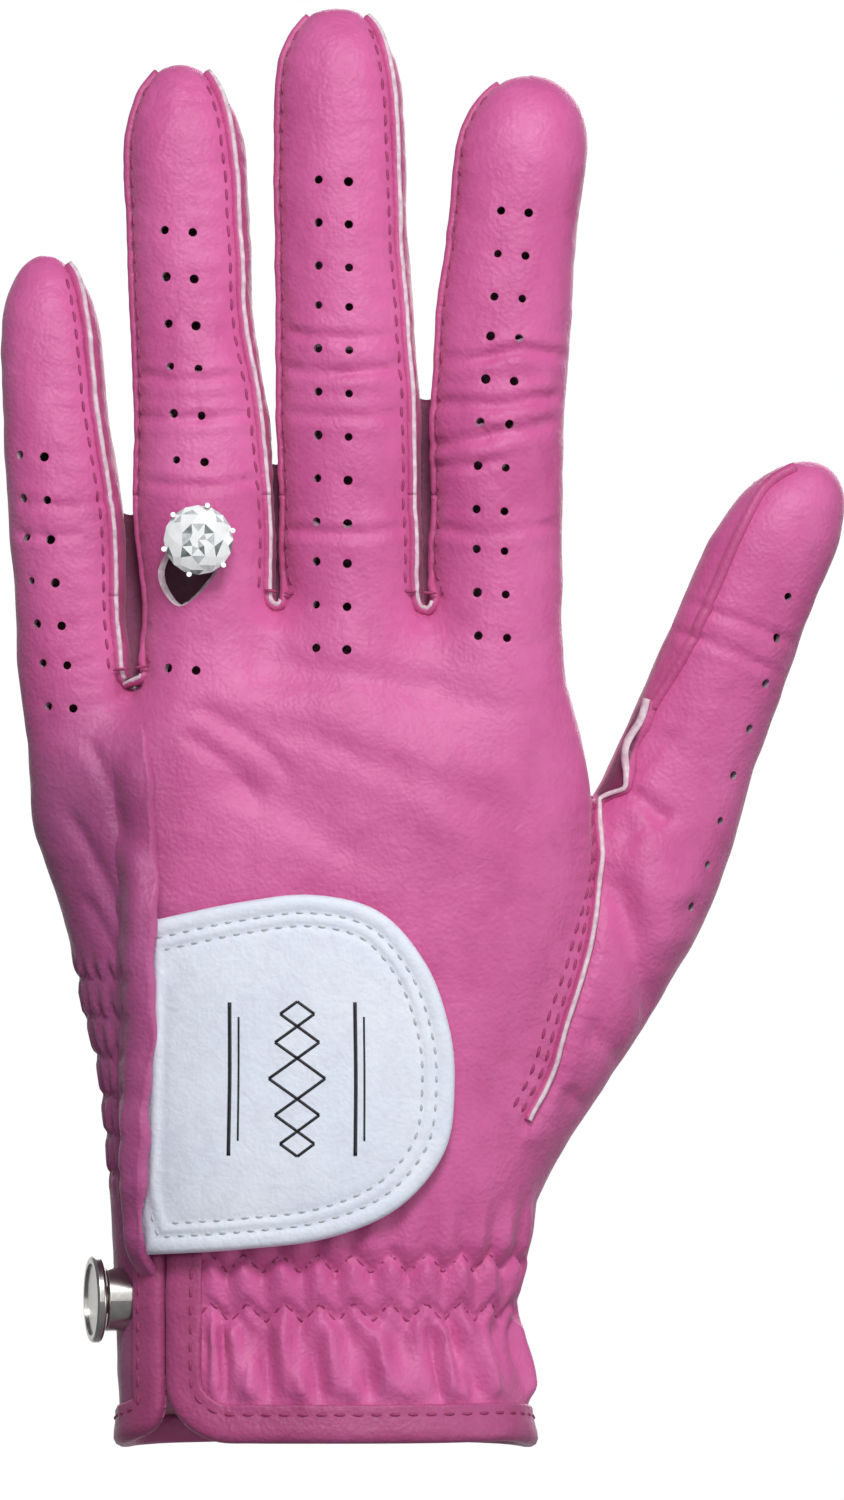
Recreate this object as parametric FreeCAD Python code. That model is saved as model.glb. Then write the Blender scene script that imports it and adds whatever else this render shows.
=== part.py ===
"""Golf glove for the left hand, in the shape it has when worn, fingers up.

Frame: +Z runs from the wrist opening to the fingertips, -Y is the back of the hand, +X the thumb side.
The origin is the middle of the wrist opening, at the hem. All sizes are millimetres.

The leather is cut as a back panel, a palm panel that wraps round the little-finger edge as far as the wrist slit,
three forked strips between the fingers, and a thumb piece with a strip of its own. The leather bends at the
knuckles, at each finger's middle joint and at the thumb's end joint. Each panel is divided there: the back halves
meet at a hair gap, and the wedge on the palm side that creases up as the joint bends is a piece of its own.
A tab with hooks closes the wrist slit, a press stud holds a ball marker on the little-finger edge, and a solitaire
ring sits inside the ring finger with its stone out through the ring opening.
"""

import FreeCAD  # noqa: F401  it has to come before Part
import Part

import math
import os

from FreeCAD import Vector

os.makedirs("parts", exist_ok=True)

# --- driving dimensions -------------------------------------------------------------------------------------------
LEATHER = 1.0  # wall of a leather panel
HINGE_GAP = 0.5  # clear space between two bodies at a joint
CAP_POWER = 2.8  # how square a fingertip is
CAP_SHARES = (0.35, 0.6, 0.78, 0.9, 0.975)  # levels of a fingertip, as shares of its rounding
HAND_POWER = 2.6  # how square the hand's outline is
FINGER_POWER = 2.2
FAR = 120.0  # beyond everything
OVERHANG = 8.0  # how far the hand's tube runs out past the hem, before it is cut there
HAIR = 0.05  # enough to keep two surfaces from lying in each other

# Level sections of each finger: (z, x of its middle, half width, y of its middle, half depth),
# then (z where its tip starts to round, z of the tip), and the height of the joint that bends.
FINGERS = {
    "little": {
        "sections": [
            (92, -33.2, 6.6, 0.5, 6.6), (104, -34.3, 7.7, 0.5, 7.0), (116, -35.1, 8.0, 0.8, 7.1),
            (128, -35.9, 8.0, 1.2, 7.0), (138, -36.8, 7.6, 2.0, 6.8), (146, -37.4, 7.1, 2.9, 6.4),
        ],
        "tip": (146, 165.5),
        "hinge": 130.0,
    },
    "ring": {
        "sections": [
            (96, -16.6, 8.6, 0.0, 7.8), (110, -16.7, 9.2, 0.0, 8.6), (125, -16.7, 9.6, 0.0, 9.3),
            (140, -17.0, 9.3, 0.6, 8.4), (155, -18.2, 8.6, 1.8, 7.7), (172, -19.0, 8.4, 3.4, 7.3),
        ],
        "tip": (172, 192.4),
        "hinge": 143.0,
    },
    "middle": {
        "sections": [
            (98, 3.6, 9.2, 0.0, 8.2), (112, 3.8, 9.6, 0.0, 8.5), (125, 3.8, 9.7, 0.2, 8.5),
            (143, 3.4, 9.7, 0.8, 8.4), (160, 2.8, 9.4, 1.8, 8.2), (182, 2.2, 9.0, 3.8, 7.8),
        ],
        "tip": (182, 200.0),
        "hinge": 148.0,
    },
    "index": {
        "sections": [
            (96, 23.2, 9.2, 0.0, 8.2), (110, 23.7, 9.2, 0.0, 8.2), (125, 23.8, 9.0, 0.2, 8.0),
            (143, 24.2, 9.1, 0.8, 8.0), (160, 25.2, 9.2, 1.8, 7.9), (175, 26.8, 9.0, 3.2, 7.6),
        ],
        "tip": (175, 190.7),
        "hinge": 147.0,
    },
    "thumb": {
        "sections": [
            (34, 18.0, 10.0, 5.0, 11.0), (48, 25.5, 12.0, 7.0, 13.0), (62, 34.5, 12.5, 8.5, 13.0),
            (76, 42.2, 12.2, 9.5, 11.5), (90, 48.2, 10.6, 10.0, 9.6), (104, 53.4, 9.6, 9.5, 8.6), (120, 60.0, 9.3, 8.5, 8.0),
        ],
        "tip": (120, 136.9),
        "hinge": 111.0,
    },
}
THUMB_LEAN = 20.0  # degrees from +Z towards +X, along the thumb's upper half

# Level sections of the hand: (z, left edge, right edge, y of its middle, half depth).
HAND = [
    (0, -28.4, 28.6, 2.0, 18.0), (8, -28.6, 27.8, 2.0, 17.4), (22, -29.2, 26.4, 2.0, 16.4), (38, -30.0, 28.4, 2.0, 16.6),
    (55, -32.2, 32.0, 1.6, 15.6), (72, -36.0, 36.0, 1.0, 14.4), (86, -39.2, 37.2, 0.5, 13.0), (98, -39.4, 35.2, 0.2, 11.2),
    (108, -34.0, 33.2, 0.0, 8.6), (116, -23.0, 29.0, 0.0, 5.0),
]

KNUCKLE_Z = 101.0
KNUCKLE_RIGHT = 37.6  # the thumb stays outside this x above its crotch
KNUCKLE_BEND, FINGER_BEND, THUMB_BEND = 60.0, 80.0, 60.0  # furthest bend of each joint, in degrees
WEDGE_MARGIN = 2.5  # degrees more than half the bend, on each side of a joint's wedge
# Lines (x, z) that part the fingers from each other, with the outside at both ends.
PARTINGS = [
    [(-60.0, 90.0), (-60.0, 230.0)],
    [(-26.6, 90.0), (-26.9, 126.0), (-28.3, 140.0), (-30.0, 160.0), (-30.0, 230.0)],
    [(-6.8, 90.0), (-6.9, 145.0), (-8.4, 175.0), (-9.0, 230.0)],
    [(14.0, 90.0), (14.2, 130.0), (14.9, 160.0), (15.6, 230.0)],
    [(KNUCKLE_RIGHT, 90.0), (KNUCKLE_RIGHT, 230.0)],
]

# Seams, as y from a finger's middle.
SEAM_RADIAL = -4.7  # back edge of a forked strip on the thumb side of a finger
SEAM_ULNAR = -2.0  # and on the little-finger side
SEAM_PALM = 4.6  # the strips' palm edge, and the palm edge of the back panel's wrap round the index finger
STRIP_FOOT = 103.0  # the forked strips end here, under the webs
THUMB_STRIP_FOOT = 91.0

SLIT_X = -22.0
SLIT_WIDTH = 1.6
SLIT_TOP = 84.0
HEM = 5.0  # height of the bound edge
BINDING = 0.6  # thickness of the strip that binds it
SLIT_BINDING_WIDTH = 3.0

ELASTIC_LOW, ELASTIC_HIGH = 17.0, 29.0
SIDE_ELASTIC_LOW, SIDE_ELASTIC_HIGH = 38.0, 65.0
ELASTIC_THICK = 0.8

# The tab's outline, as (x, z): bottom left, where the round end starts, its furthest point, where it ends, top left.
TAB = [(-22.3, 27.4), (2.0, 29.0), (17.3, 51.0), (-2.0, 76.6), (-22.3, 73.6)]
TAB_HINGE = (-22.8, -14.6)  # x and y
TAB_ROOT_LEFT = -27.5
TAB_LEATHER = 1.2
PATCH_THICK = 0.8  # of the hook patch and of the loop patch
PATCH_SCALE = 0.82  # their outline over the tab's
TAB_GAP = 0.35  # between hooks and loops, which mesh there

MARKER_Z = 20.7
MARKER_ANGLE = 12.0  # degrees its face turns from -X towards -Y
MARKER_R, MARKER_THICK = 6.0, 1.3
STUD_R, STUD_LENGTH = 2.0, 1.4
SOCKET_R, SOCKET_THICK = 4.4, 1.9
SOCKET_CLEARANCE = 0.05
POST_R = 1.4
CAP_R, CAP_THICK = 4.0, 0.9

RING_Z = 124.6
RING_X = -17.0
RING_OUTER, RING_INNER, RING_WIDTH = 8.1, 7.0, 2.2
HEAD_R = 1.6  # the ring's neck, through the opening
STONE_X, STONE_Z, STONE_R = -17.3, 125.6, 4.8
STONE_BACK = -10.4  # y of the stone's point
OPENING = [(-22.9, 121.8), (-19.9, 116.4), (-13.2, 123.0), (-16.4, 128.6)]


# --- tubes and cutters --------------------------------------------------------------------------------------------
def level_outline(z, x, y, half_width, half_depth, power, count=20):
    """A closed smooth superellipse in the plane at height z."""
    points = []
    for k in range(count):
        angle = 2 * math.pi * k / count
        c, s = math.cos(angle), math.sin(angle)
        dx = math.copysign(abs(c) ** (2 / power), c) * half_width
        dy = math.copysign(abs(s) ** (2 / power), s) * half_depth
        points.append(Vector(x + dx, y + dy, z))
    curve = Part.BSplineCurve()
    curve.interpolate(points, PeriodicFlag=True)
    return Part.Wire([curve.toShape()])


def between(rows, z, column):
    """A column of a section list at height z, by straight lines between its rows."""
    if z <= rows[0][0]:
        return rows[0][column]
    for low, high in zip(rows, rows[1:]):
        if z <= high[0]:
            share = (z - low[0]) / (high[0] - low[0])
            return low[column] + share * (high[column] - low[column])
    return rows[-1][column]


def lean(finger, column):
    """How fast a finger's middle moves with height at its tip."""
    low, high = finger["sections"][-2:]
    return (high[column] - low[column]) / (high[0] - low[0])


def finger_tube(finger, inset=0.0):
    """One finger's solid, its surface moved in by inset."""
    round_from, tip = finger["tip"]
    outlines = [
        level_outline(z, x, y, half_width - inset, half_depth - inset, FINGER_POWER)
        for z, x, half_width, y, half_depth in finger["sections"]
    ]
    _, x, half_width, y, half_depth = finger["sections"][-1]
    for share in CAP_SHARES:
        rise = (tip - inset - round_from) * share
        shrink = math.sqrt(1 - share**CAP_POWER)
        outlines.append(
            level_outline(
                round_from + rise,
                x + lean(finger, 1) * rise,
                y + lean(finger, 3) * rise,
                (half_width - inset) * shrink,
                (half_depth - inset) * shrink,
                FINGER_POWER,
            )
        )
    return Part.makeLoft(outlines, True, True)


def hand_tube(inset=0.0):
    """The hand's solid, its surface moved in by inset. It runs out past the hem."""
    outlines = []
    for z, left, right, y, half_depth in [(-OVERHANG, *HAND[0][1:]), *HAND]:
        drop = inset if z > KNUCKLE_Z else 0.0
        outlines.append(
            level_outline(z - drop, (left + right) / 2, y, (right - left) / 2 - inset, half_depth - inset, HAND_POWER)
        )
    return Part.makeLoft(outlines, True, False)


def hand_layer(inner, outer):
    """The layer from inner to outer outside the hand's surface."""
    return hand_tube(-outer).cut(hand_tube(-inner))


def block(x0, x1, y0, y1, z0, z1):
    return Part.makeBox(x1 - x0, y1 - y0, z1 - z0, Vector(x0, y0, z0))


def side_prism(points, x0, x1):
    """A prism with the outline (y, z), from x0 to x1."""
    wire = Part.makePolygon([Vector(x0, y, z) for y, z in [*points, points[0]]])
    return Part.Face(wire).extrude(Vector(x1 - x0, 0, 0))


def front_prism(points, y0=-FAR, y1=FAR):
    """A prism with the outline (x, z), from y0 to y1."""
    wire = Part.makePolygon([Vector(x, y0, z) for x, z in [*points, points[0]]])
    return Part.Face(wire).extrude(Vector(0, y1 - y0, 0))


def finger_space(number):
    """The space between two parting lines, from front to back."""
    return front_prism([*PARTINGS[number], *reversed(PARTINGS[number + 1])])


def joint_cut(y, z, bend, x0, x1):
    """What is cleared at a joint at (y, z): a hair gap on the back, a wedge on the palm side."""
    rise = math.tan(math.radians(bend / 2 + WEDGE_MARGIN))
    half = HINGE_GAP / 2
    deep = half + (FAR - y) * rise
    points = [(-FAR, z - half), (y, z - half), (FAR, z - deep), (FAR, z + deep), (y, z + half), (-FAR, z + half)]
    return side_prism(points, x0, x1)


def crease_wedge(y, z, bend, x0, x1):
    """The part of that wedge which leather fills at rest."""
    rise = math.tan(math.radians(bend / 2 - WEDGE_MARGIN))
    start = y + 2.0
    deep = HAIR + (FAR - start) * rise
    points = [(start, z - HAIR), (FAR, z - deep), (FAR, z + deep), (start, z + HAIR)]
    return side_prism(points, x0, x1)


def above(y, z, bend, x0, x1):
    """All the space over a joint, to pick what is on its far side."""
    deep = (FAR - y) * math.tan(math.radians(bend / 2))
    return side_prism([(-FAR, z), (y, z), (FAR, z + deep), (FAR, 3 * FAR), (-FAR, 3 * FAR)], x0, x1)


def strip_space(finger, back, side, z0, z1):
    """The space of a strip on one side of a finger, from y back to the palm seam. Side is 1 towards the thumb."""
    rows = finger["sections"]
    round_from, tip = finger["tip"]
    levels = [z0] + [row[0] for row in rows if z0 < row[0] < z1] + [z1]
    middles = [(between(rows, z, 3) + max(0.0, z - round_from) * lean(finger, 3), z) for z in levels]
    points = [(y + back, z) for y, z in middles] + [(y + SEAM_PALM, z) for y, z in reversed(middles)]
    x = between(rows, (z0 + z1) / 2, 1)
    return side_prism(points, x, x + side * FAR)


def solids_of(shape, least=0.4):
    """A shape without the slivers that a cut leaves."""
    solids = [s for s in shape.Solids if s.Volume > least]
    return solids[0] if len(solids) == 1 else Part.makeCompound(solids)


def export(name, shape, least=0.4):
    """Writes one node."""
    made = solids_of(shape, least)
    if not made.Solids:
        raise RuntimeError(name + " is empty")
    valid = "" if all(s.isValid() for s in made.Solids) else "  NOT VALID"
    made.exportStep("parts/" + name + ".step")
    box = made.BoundBox
    print(f"{name:26s} {len(made.Solids)} solids {made.Volume:9.1f} mm3  z {box.ZMin:6.1f} {box.ZMax:6.1f}{valid}")


# --- the leather --------------------------------------------------------------------------------------------------
def leather_shell():
    """The whole leather as one hollow shell, with the slit and the ring opening cut."""
    outer = hand_tube()
    hollow = hand_tube(LEATHER)
    for finger in FINGERS.values():
        outer = outer.fuse(finger_tube(finger))
        hollow = hollow.fuse(finger_tube(finger, LEATHER))
    shell = outer.cut(hollow).cut(block(-FAR, FAR, -FAR, FAR, -FAR, BINDING))
    shell = shell.cut(block(SLIT_X - SLIT_WIDTH / 2, SLIT_X + SLIT_WIDTH / 2, -FAR, 0, -1, SLIT_TOP))
    return shell.cut(front_prism(OPENING, -FAR, 0.0))


def divide(shell):
    """Cuts the shell at every joint, into the pieces of each body and the wedges that crease."""
    groups, wedges = {}, {}
    thumb_side = block(KNUCKLE_RIGHT, FAR, -FAR, FAR, -10.0, 3 * FAR)
    fingers_side = shell.cut(thumb_side)
    place = (0.0, KNUCKLE_Z, KNUCKLE_BEND, -60.0, KNUCKLE_RIGHT)
    wedges["knuckle"] = fingers_side.common(crease_wedge(*place))
    rest = fingers_side.cut(joint_cut(*place))
    upper = rest.common(above(*place))
    hand = rest.cut(above(*place)).fuse(shell.common(thumb_side))
    for number, name in enumerate(("little", "ring", "middle", "index")):
        z = FINGERS[name]["hinge"]
        place = (between(FINGERS[name]["sections"], z, 3), z, FINGER_BEND, -60.0, 60.0)
        space = finger_space(number)
        wedges[name] = upper.common(crease_wedge(*place).common(space))
        upper = upper.cut(joint_cut(*place).common(space))
        far_side = above(*place).common(space)
        groups[name] = upper.common(far_side)
        upper = upper.cut(far_side)
    groups["knuckles"] = upper
    z = FINGERS["thumb"]["hinge"]
    x, y = (between(FINGERS["thumb"]["sections"], z, column) for column in (1, 3))
    place = (y, z, THUMB_BEND, x - 20.0, x + 20.0)
    cut, crease, far_side = joint_cut(*place), crease_wedge(*place), above(*place)
    for shape in (cut, crease, far_side):
        shape.rotate(Vector(x, y, z), Vector(0, 1, 0), THUMB_LEAN)
    wedges["thumb"] = hand.common(crease)
    hand = hand.cut(cut)
    groups["thumb"] = hand.common(far_side)
    groups["hand"] = hand.cut(far_side)
    return groups, wedges


def export_fingertips(groups):
    """Each finger above its joint: back, palm and strips. The little finger has one wrap and one strip."""
    for name in ("little", "ring", "middle", "index"):
        finger, piece = FINGERS[name], groups[name]
        span = (finger["hinge"] - 15.0, finger["tip"][1] - 4.0)
        radial = strip_space(finger, SEAM_RADIAL, 1, *span)
        ulnar = strip_space(finger, SEAM_ULNAR, -1, *span)
        if name != "index":
            export(name + "_tip_strip_radial", piece.common(radial))
            piece = piece.cut(radial)
        if name != "little":
            export(name + "_tip_strip_ulnar", piece.common(ulnar))
            piece = piece.cut(ulnar)
        if name == "little":
            export("little_tip_wrap", piece)
            continue
        split_y = SEAM_PALM if name == "index" else 0.0
        rows = finger["sections"]
        points = [(between(rows, z, 3) + split_y, z) for z, *_ in rows]
        top = (points[-1][0] + (220.0 - points[-1][1]) * lean(finger, 3), 220.0)
        palm_space = side_prism([*points, top, (FAR, 220.0), (FAR, points[0][1])], -FAR, FAR)
        export(name + "_tip_palm", piece.common(palm_space))
        export(name + "_tip_back", piece.cut(palm_space))


def export_knuckles(upper):
    """The leather from the knuckles to the fingers' joints: three forked strips, the back and the palm."""
    names = ("little", "ring", "middle", "index")
    for number in range(3):
        inner, outer = FINGERS[names[number]], FINGERS[names[number + 1]]
        radial = strip_space(inner, SEAM_RADIAL, 1, STRIP_FOOT, inner["hinge"] + 1.0).common(finger_space(number))
        ulnar = strip_space(outer, SEAM_ULNAR, -1, STRIP_FOOT, outer["hinge"] + 1.0).common(finger_space(number + 1))
        both = radial.fuse(ulnar)
        export(f"forked_strip_{names[number]}_{names[number + 1]}", upper.common(both))
        upper = upper.cut(both)
    little_side = finger_space(0).common(block(-FAR, 0, -FAR, FAR, 0, 3 * FAR))
    back_space = block(-60.0, FAR, -FAR, SEAM_PALM, 80.0, 3 * FAR).cut(little_side)
    export("knuckle_back_panel", upper.common(back_space))
    export("knuckle_palm_panel", upper.cut(back_space))


def export_hand(hand, marker_hole):
    """The leather from the hem to the knuckles: back panel, palm panel and the thumb piece with its strip."""
    thumb = hand.common(block(0, FAR, -FAR, FAR, 0, 3 * FAR)).cut(hand_tube(-HAIR))
    body = hand.cut(thumb).cut(marker_hole)
    back_space = block(SLIT_X, FAR, -FAR, SEAM_PALM, -5.0, 3 * FAR)
    export("back_panel", body.common(back_space))
    export("palm_panel", body.cut(back_space))
    strip = strip_space(FINGERS["thumb"], -3.0, -1, THUMB_STRIP_FOOT, 118.0)
    export("thumb_strip", thumb.common(strip))
    export("thumb_panel", thumb.cut(strip))


def export_thumb_tip(piece):
    strip = strip_space(FINGERS["thumb"], -3.0, -1, 100.0, 133.0)
    export("thumb_tip_strip", piece.common(strip))
    export("thumb_tip_panel", piece.cut(strip))


# --- bindings and elastics ----------------------------------------------------------------------------------------
def export_bindings():
    """The strip folded round the hem, and the facings along both edges of the slit."""
    slit = block(SLIT_X - SLIT_WIDTH / 2, SLIT_X + SLIT_WIDTH / 2, -FAR, 0, -5.0, SLIT_TOP)
    slab = block(-FAR, FAR, -FAR, FAR, 0.0, HEM)
    leather = hand_layer(-LEATHER, 0.0).common(block(-FAR, FAR, -FAR, FAR, BINDING, FAR))
    export("hem_binding", hand_layer(-LEATHER - BINDING, BINDING).common(slab).cut(leather).cut(slit))
    layer = hand_layer(HAIR, BINDING).common(block(-FAR, FAR, -FAR, 0, HEM, TAB[0][1] - 1.0))
    edge = SLIT_X + SLIT_WIDTH / 2
    export("slit_facing_back", layer.common(block(edge, edge + SLIT_BINDING_WIDTH, -FAR, 0, 0, FAR)))
    edge = SLIT_X - SLIT_WIDTH / 2
    export("slit_facing_palm", layer.common(block(edge - SLIT_BINDING_WIDTH, edge, -FAR, 0, 0, FAR)))


def export_elastics():
    """Flat elastics sewn inside the leather, which gather it."""
    layer = hand_layer(-LEATHER - ELASTIC_THICK, -LEATHER - HAIR)
    band = layer.common(block(-FAR, FAR, -FAR, FAR, ELASTIC_LOW, ELASTIC_HIGH))
    export("wrist_elastic_back", band.common(block(SLIT_X + 3.0, 24.0, -FAR, 0, 0, FAR)))
    export("wrist_elastic_palm", band.common(block(-20.0, 20.0, 0, FAR, 0, FAR)))
    side = layer.common(block(-FAR, SLIT_X - 3.0, -FAR, 0, SIDE_ELASTIC_LOW, SIDE_ELASTIC_HIGH))
    export("side_elastic", side)


# --- the tab ------------------------------------------------------------------------------------------------------
def tab_space(scale=1.0):
    """The space over the tab's outline. A scale shrinks the outline about its middle."""
    middle_x = sum(x for x, _ in TAB) / len(TAB)
    middle_z = (TAB[0][1] + TAB[-1][1]) / 2
    points = [Vector(middle_x + (x - middle_x) * scale, -60.0, middle_z + (z - middle_z) * scale) for x, z in TAB]
    low_left, low, far, high, high_left = points
    edges = [
        Part.LineSegment(low_left, low), Part.Arc(low, far, high),
        Part.LineSegment(high, high_left), Part.LineSegment(high_left, low_left),
    ]
    return Part.Face(Part.Wire([edge.toShape() for edge in edges])).extrude(Vector(0, 60, 0))


def export_tab():
    """Loops on the back panel, hooks under the tab, the tab's leather, and its sewn root under the palm panel's fold."""
    loops_top = HAIR + PATCH_THICK
    hooks_low = loops_top + TAB_GAP
    hooks_top = hooks_low + PATCH_THICK
    export("loop_patch", hand_layer(HAIR, loops_top).common(tab_space(PATCH_SCALE)))
    export("hook_patch", hand_layer(hooks_low, hooks_top - HAIR).common(tab_space(PATCH_SCALE)))
    export("closure_tab", hand_layer(hooks_top, hooks_top + TAB_LEATHER).common(tab_space()))
    low, high = TAB[0][1], TAB[-1][1]
    root = block(TAB_ROOT_LEFT, SLIT_X - SLIT_WIDTH, -FAR, 0, low, high)
    export("tab_root", hand_layer(HAIR, HAIR + TAB_LEATHER).common(root))
    fold = block(TAB_ROOT_LEFT - 2.0, SLIT_X - SLIT_WIDTH, -FAR, 0, low, high)
    export("slit_fold", hand_layer(2 * HAIR + TAB_LEATHER, 2 * HAIR + TAB_LEATHER + LEATHER).common(fold))


# --- press stud and ball marker -----------------------------------------------------------------------------------
def marker_axis():
    """Where the press stud's axis leaves the hand's surface, and its direction outwards."""
    left, right, y, half_depth = (between(HAND, MARKER_Z, column) for column in (1, 2, 3, 4))
    half_width = (right - left) / 2
    angle = math.radians(MARKER_ANGLE)
    out = Vector(-math.cos(angle), -math.sin(angle), 0)
    reach = (abs(out.x) / half_width) ** HAND_POWER + (abs(out.y) / half_depth) ** HAND_POWER
    return Vector((left + right) / 2, y, MARKER_Z) + out * reach ** (-1 / HAND_POWER), out


def rod(radius, start, stop):
    """A round rod on the press stud's axis, from start to stop outside the leather's surface."""
    at, out = marker_axis()
    return Part.makeCylinder(radius, stop - start, at + out * start, out)


def marker_hole():
    return rod(POST_R + HAIR, -4.0, 2.0)


def export_press_stud():
    """The cap inside, its post through the leather, the socket outside, and the marker whose stud it holds."""
    seat = SOCKET_THICK
    bore = rod(STUD_R + SOCKET_CLEARANCE, seat - STUD_LENGTH - 0.3, seat + 1.0)
    socket = rod(SOCKET_R, -2.0, seat).cut(hand_tube(-HAIR)).cut(bore).cut(rod(POST_R, -4.0, seat))
    rim = Part.makeTorus(SOCKET_R - 0.35, 0.35, *reversed_axis(seat), 0, 360, 360)
    export("stud_socket", socket.fuse(rim.cut(hand_tube(-HAIR))), 0.1)
    cap = rod(CAP_R, -LEATHER - CAP_THICK - 1.4, -LEATHER - HAIR - 1.2)
    post = rod(POST_R - HAIR, -LEATHER - CAP_THICK - 1.0, seat - STUD_LENGTH - 0.4)
    export("stud_cap", cap.common(hand_tube(LEATHER + HAIR)).fuse(post), 0.1)
    base = seat + 0.35 + HINGE_GAP
    disc = rod(MARKER_R, base, base + MARKER_THICK)
    dish = rod(MARKER_R - 1.0, base + MARKER_THICK - 0.3, base + MARKER_THICK + 1.0)
    disc = disc.makeFillet(0.4, [edge for edge in disc.Edges if edge.Curve.TypeId == "Part::GeomCircle"])
    export("ball_marker", disc.cut(dish).fuse(rod(STUD_R, seat - STUD_LENGTH, base + 0.5)), 0.1)


def reversed_axis(distance):
    at, out = marker_axis()
    return at + out * distance, out


# --- the ring -----------------------------------------------------------------------------------------------------
def export_ring():
    """A solitaire ring: the band inside the ring finger, its neck and claws through the opening, and the stone."""
    centre = Vector(RING_X, 0.0, RING_Z - RING_WIDTH / 2)
    band = Part.makeCylinder(RING_OUTER, RING_WIDTH, centre).cut(Part.makeCylinder(RING_INNER, RING_WIDTH, centre))
    back = Vector(0, -1, 0)
    foot_y = -RING_OUTER + 0.6
    neck_height = foot_y - STONE_BACK
    neck = Part.makeCylinder(HEAD_R, neck_height, Vector(STONE_X, foot_y, RING_Z), back)
    girdle = STONE_BACK - 2.6
    seat = Part.makeCone(HEAD_R, STONE_R - 0.7, 2.4, Vector(STONE_X, STONE_BACK + 0.4, STONE_Z), back)
    pavilion = Part.makeCone(0.2, STONE_R, 2.6, Vector(STONE_X, STONE_BACK, STONE_Z), back)
    crown = Part.makeCone(STONE_R, STONE_R * 0.56, 1.1, Vector(STONE_X, girdle, STONE_Z), back)
    stone = pavilion.fuse(crown).removeSplitter()
    claws = []
    for k in range(6):
        angle = math.radians(60 * k + 15)
        at = Vector(STONE_X + math.cos(angle) * (STONE_R + 0.1), girdle + 0.9, STONE_Z + math.sin(angle) * (STONE_R + 0.1))
        claws.append(Part.makeCylinder(0.35, 1.7, at, back))
        foot = Vector(STONE_X, STONE_BACK + 0.2, STONE_Z)
        claws.append(Part.makeCylinder(0.3, (at - foot).Length, foot, at - foot))
    setting = band.fuse([neck, seat, *claws]).cut(stone)
    export("ring_band_and_claws", setting, 0.1)
    export("ring_stone", stone, 0.1)


def main():
    groups, wedges = divide(leather_shell())
    export_hand(groups["hand"], marker_hole())
    export_knuckles(groups["knuckles"])
    export_fingertips(groups)
    export_thumb_tip(groups["thumb"])
    for name, wedge in wedges.items():
        export(name + "_crease", wedge)
    export_bindings()
    export_elastics()
    export_tab()
    export_press_stud()
    export_ring()


main()
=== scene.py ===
"""Golf glove, the looks: leather skin, seams, stitches, tab, cuff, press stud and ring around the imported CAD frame.

The leather is one smooth surface, found as the zero of a field of blended tubes, then given its gathers, creases and
folds, cut along the seams into the panels of the real glove, and thickened. Lengths here are millimetres until a mesh
is made, which is in metres. +Z runs to the fingertips, -Y out of the back of the hand, +X to the thumb.
"""
import math

import bpy
import bmesh
import numpy as np
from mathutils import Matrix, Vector


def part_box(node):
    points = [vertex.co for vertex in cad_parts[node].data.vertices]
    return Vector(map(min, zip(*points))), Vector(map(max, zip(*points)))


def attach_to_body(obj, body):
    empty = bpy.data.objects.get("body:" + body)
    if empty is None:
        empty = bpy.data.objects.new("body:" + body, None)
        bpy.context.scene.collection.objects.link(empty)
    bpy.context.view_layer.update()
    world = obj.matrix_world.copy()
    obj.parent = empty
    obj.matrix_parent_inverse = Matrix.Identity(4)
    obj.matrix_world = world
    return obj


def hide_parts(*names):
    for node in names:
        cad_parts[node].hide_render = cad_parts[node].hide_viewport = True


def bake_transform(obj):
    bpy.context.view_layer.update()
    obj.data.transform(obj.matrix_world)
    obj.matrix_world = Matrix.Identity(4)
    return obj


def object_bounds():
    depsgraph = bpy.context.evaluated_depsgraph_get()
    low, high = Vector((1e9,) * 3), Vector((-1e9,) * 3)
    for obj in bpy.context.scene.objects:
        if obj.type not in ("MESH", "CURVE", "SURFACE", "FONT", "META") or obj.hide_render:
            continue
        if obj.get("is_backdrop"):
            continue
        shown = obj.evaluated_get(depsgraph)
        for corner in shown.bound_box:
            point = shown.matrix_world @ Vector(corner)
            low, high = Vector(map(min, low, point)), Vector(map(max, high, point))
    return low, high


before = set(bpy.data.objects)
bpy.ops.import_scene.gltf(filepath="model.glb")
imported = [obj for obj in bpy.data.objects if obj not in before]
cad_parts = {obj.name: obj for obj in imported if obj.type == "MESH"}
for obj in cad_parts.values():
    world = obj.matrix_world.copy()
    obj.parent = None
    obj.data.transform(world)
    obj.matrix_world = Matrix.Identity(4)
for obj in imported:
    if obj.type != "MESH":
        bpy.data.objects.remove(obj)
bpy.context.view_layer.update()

MM = 0.001
RNG = np.random.default_rng(7)

# --- the shape's driving numbers ----------------------------------------------------------------------------------
LEATHER = 1.0
FAR = 1e3
STEP = 1.25  # of the grid on which the surface is found; its faces are then divided once
CAP_POWER = 2.8
HAND_POWER = 2.6
FINGER_POWER = 2.2

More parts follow.
